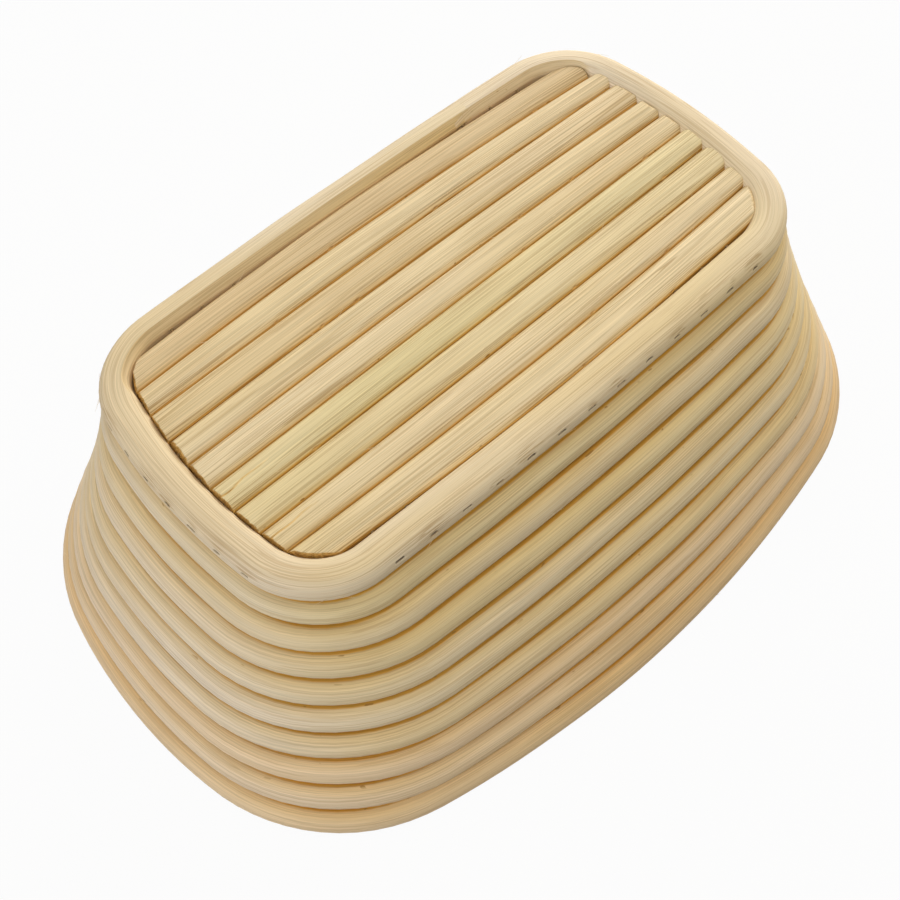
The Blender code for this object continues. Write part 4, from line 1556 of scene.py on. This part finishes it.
@dataclass(frozen=True)
class CaneFinish:
    """Peeled cane in one shade."""

    name: str
    pale: Colour
    straw: Colour
    ruddy: Colour
    green: Colour
    vessel: Colour
    shade: Colour
    end: Colour
    streak: float
    vessels: float
    bump: float
    shine: float = 0.14

    def material(self, group: bpy.types.NodeTree) -> bpy.types.Material:
        """A material that reads the cane's layers through the shared group."""
        made, sheet, shader = new_finish(self.name)
        inputs = {layer.value.capitalize(): sheet.layer(layer) for layer in Layer}
        inputs |= {name: solid(getattr(self, name.lower())) for name in CaneGrain.COLOURS}
        inputs |= {"Streak": self.streak, "Vessels": self.vessels}
        cane = sheet.add("ShaderNodeGroup", inputs, node_tree=group)
        relief = {"Strength": 1.0, "Distance": self.bump, "Height": cane.outputs["Height"]}
        bump = sheet.add("ShaderNodeBump", relief)
        surface = {
            "Base Color": cane.outputs["Color"],
            "Roughness": cane.outputs["Roughness"],
            "Normal": bump.outputs["Normal"],
            "Specular IOR Level": self.shine,
        }
        sheet.feed(shader, surface)
        return made


@dataclass(frozen=True)
class SteelFinish:
    """Dulled steel of the brads."""

    name: str
    bright: Colour
    dull: Colour
    # Colour of the shank: rust, and a painted shade that matches the shaded cane round it.
    shade_and_stain: Colour
    blotch: Fleck = Fleck(2500.0, 2500.0, 2.0)
    blotch_edge: Span = (0.3, 0.7)
    rough: Span = (0.65, 0.85)
    metallic: float = 0.10
    shine: float = 0.03

    def material(self) -> bpy.types.Material:
        """A metal whose colour and roughness are blotched."""
        made, sheet, shader = new_finish(self.name)
        place = sheet.add("ShaderNodeTexCoord", {}).outputs["Object"]
        blotch = sheet.noise(place, self.blotch)
        colour = sheet.mix(blotch, solid(self.bright), solid(self.dull))
        inputs = {
            # The shank takes its rust and painted shade colour.
            "Base Color": sheet.mix(sheet.layer(Layer.CUT), colour, solid(self.shade_and_stain)),
            "Roughness": sheet.ramp(blotch, self.blotch_edge, self.rough),
            "Metallic": self.metallic,
            "Specular IOR Level": self.shine,
        }
        sheet.feed(shader, inputs)
        return made


WALL_FINISH = CaneFinish(
    name="wall_cane_finish",
    pale=(0.75, 0.61, 0.415),
    straw=(0.725, 0.55, 0.295),
    ruddy=(0.755, 0.49, 0.225),
    green=(0.73, 0.58, 0.30),
    vessel=(0.44, 0.27, 0.11),
    # Colour of the painted shade in the grooves.
    shade=(0.94, 0.79, 0.43),
    # Near-black end colour, painted into the pits round the brads as their shade.
    end=(0.08, 0.05, 0.02),
    streak=0.27,
    vessels=0.42,
    bump=0.00006,
)
FLOOR_FINISH = CaneFinish(
    name="floor_cane_finish",
    pale=(0.77, 0.61, 0.36),
    straw=(0.71, 0.54, 0.275),
    ruddy=(0.66, 0.475, 0.245),
    green=(0.70, 0.575, 0.285),
    vessel=(0.38, 0.22, 0.07),
    # Colour of the painted shade in the grooves.
    shade=(0.92, 0.79, 0.50),
    end=(0.76, 0.46, 0.13),
    streak=0.30,
    vessels=0.58,
    bump=0.00009,
)
BRAD_FINISH = SteelFinish(
    name="brad_finish",
    bright=(0.042, 0.031, 0.014),
    dull=(0.016, 0.011, 0.005),
    # Rust and painted shade colour of the shanks.
    shade_and_stain=(0.22, 0.14, 0.06),
)


@dataclass(frozen=True)
class Softbox:
    """A square lamp that faces the basket."""

    name: str
    place: tuple[float, float, float]
    power: float
    tint: Colour = WHITE
    size: float = 0.7

    def build(self, target: Vector) -> None:
        """Hang the lamp and aim it."""
        light = bpy.data.lights.new(self.name, "AREA")
        light.shape = "SQUARE"
        light.size = self.size
        light.energy = self.power
        light.color = self.tint
        lamp = placed(self.name, light)
        lamp.location = self.place
        lamp.rotation_euler = (target - Vector(self.place)).to_track_quat("-Z", "Y").to_euler()


@dataclass
class Studio:
    """White table, soft light and the camera at the photograph's place."""

    azimuth: float = -0.686208
    elevation: float = 1.035573
    roll: float = -0.060271
    distance: float = 0.287922
    focal_pixels: float = 1277.989
    shift_right: float = -0.0010605
    shift_up: float = -0.0355695
    target_height: float = 0.07294
    sensor: float = 36.0
    image: float = 900.0
    clip_start: float = 0.005
    world_strength: float = 0.04
    table_size: float = 6.0
    table_colour: Colour = (0.52, 0.50, 0.45)
    table_rough: float = 0.9
    table_shine: float = 0.1
    table_glow: float = 0.955
    lamps: tuple[Softbox, ...] = (
        Softbox("top_light", (0.10, 0.0, 1.40), 6.1),
        Softbox("back_light", (0.930, 0.930, 0.479), 13.3),
        Softbox("far_light", (1.316, 0.0, 0.479), 8.8),
        Softbox("near_light", (-1.316, 0.0, 0.479), 8.0, (0.92, 1.0, 1.22)),
        Softbox("corner_light", (-0.636, -0.636, 1.072), 4.3),
        Softbox("front_light", (0.636, -0.636, 1.072), 1.6),
    )

    def build(self) -> None:
        """Set up the view, table, lights and camera."""
        bpy.context.scene.view_settings.view_transform = "Standard"
        self.world()
        self.table()
        for lamp in self.lamps:
            lamp.build(Vector((0.0, 0.0, self.target_height / 2.0)))
        self.camera()

    def world(self) -> None:
        """A white surround, pure white to the camera and in reflections."""
        world = bpy.data.worlds.new("studio")
        world.use_nodes = True
        bpy.context.scene.world = world
        sheet = NodeSheet(world.node_tree)
        inputs = {0: sheet.seen(), 3: self.world_strength, 4: 1.0}
        strength = sheet.add("ShaderNodeMapRange", inputs).outputs[0]
        sheet.feed(world.node_tree.nodes["Background"], {"Color": solid(WHITE), "Strength": strength})

    def table(self) -> None:
        """A white table top that keeps a soft shadow."""
        half = self.table_size / 2.0
        corners = [(-half, -half, 0.0), (half, -half, 0.0), (half, half, 0.0), (-half, half, 0.0)]
        mesh = bpy.data.meshes.new("table")
        mesh.from_pydata(corners, [], [(0, 1, 2, 3)])
        table = placed("table", mesh)
        made, sheet, shader = new_finish("table_white")
        surface = {"Base Color": solid(self.table_colour), "Roughness": self.table_rough}
        sheet.feed(shader, surface | {"Specular IOR Level": self.table_shine})
        share = sheet.times(sheet.seen(), self.table_glow)
        glow = sheet.add("ShaderNodeEmission", {"Color": solid(WHITE), "Strength": 1.0})
        both = sheet.add("ShaderNodeMixShader", {0: share, 1: shader.outputs[0], 2: glow.outputs[0]})
        sheet.feed(made.node_tree.nodes["Material Output"], {"Surface": both.outputs[0]})
        mesh.materials.append(made)

    def camera(self) -> None:
        """A camera at the photograph's place, with its roll and focal length."""
        level = math.cos(self.elevation)
        aside = (math.sin(self.azimuth) * level, -math.cos(self.azimuth) * level)
        back = Vector((*aside, math.sin(self.elevation)))
        right = Vector((math.cos(self.azimuth), math.sin(self.azimuth), 0.0))
        up = back.cross(right)
        rolled_right = math.cos(self.roll) * right + math.sin(self.roll) * up
        rolled_up = math.cos(self.roll) * up - math.sin(self.roll) * right
        place = back * self.distance + rolled_right * self.shift_right + rolled_up * self.shift_up
        place.z += self.target_height
        turned = Matrix((rolled_right, rolled_up, back)).transposed().to_4x4()
        data = bpy.data.cameras.new("camera")
        data.sensor_width = self.sensor
        data.lens = self.focal_pixels * self.sensor / self.image
        data.clip_start = self.clip_start
        camera = placed("camera", data)
        camera.matrix_world = Matrix.Translation(place) @ turned
        bpy.context.scene.camera = camera


def packed_nodes(prefix: str) -> list[str]:
    """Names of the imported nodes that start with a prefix, in order."""
    return sorted(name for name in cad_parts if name.startswith(prefix))


def brad_places() -> dict[str, BradPlace]:
    """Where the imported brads' heads lie and which way they are driven, from their boxes."""
    places = {}
    for node in packed_nodes("brad_"):
        low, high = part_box(node)
        middle = (low + high) / 2.0
        axis = 0 if high.x - low.x > high.y - low.y else 1
        head = middle.copy()
        head[axis] = high[axis] if middle[axis] > 0.0 else low[axis]
        drive = Vector((0.0, 0.0, 0.0))
        drive[axis] = -math.copysign(1.0, middle[axis])
        places[node] = BradPlace(head, drive)
    return places


def main() -> None:
    """Build the basket piece by piece, then the studio."""
    logging.basicConfig(level=logging.INFO, format="%(name)s: %(message)s")
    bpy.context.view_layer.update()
    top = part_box("wound_wall")[1].z
    plan = WallPlan()
    group = CaneGrain().build()
    wall_finish = WALL_FINISH.material(group)
    floor_finish = FLOOR_FINISH.material(group)
    places = brad_places()
    wall = WoundWall(plan, [place.head for place in places.values()], top + FIRST_TURN_RISE)
    wall.build(wall_finish)
    floor = FloorCanes(plan, wall, top, packed_nodes("floor_cane_"))
    floor.build(floor_finish)
    LooseFibres(floor, wall).build(floor_finish)
    Brads(places).build(BRAD_FINISH.material())
    Studio().build()


if __name__ == "__main__":
    main()
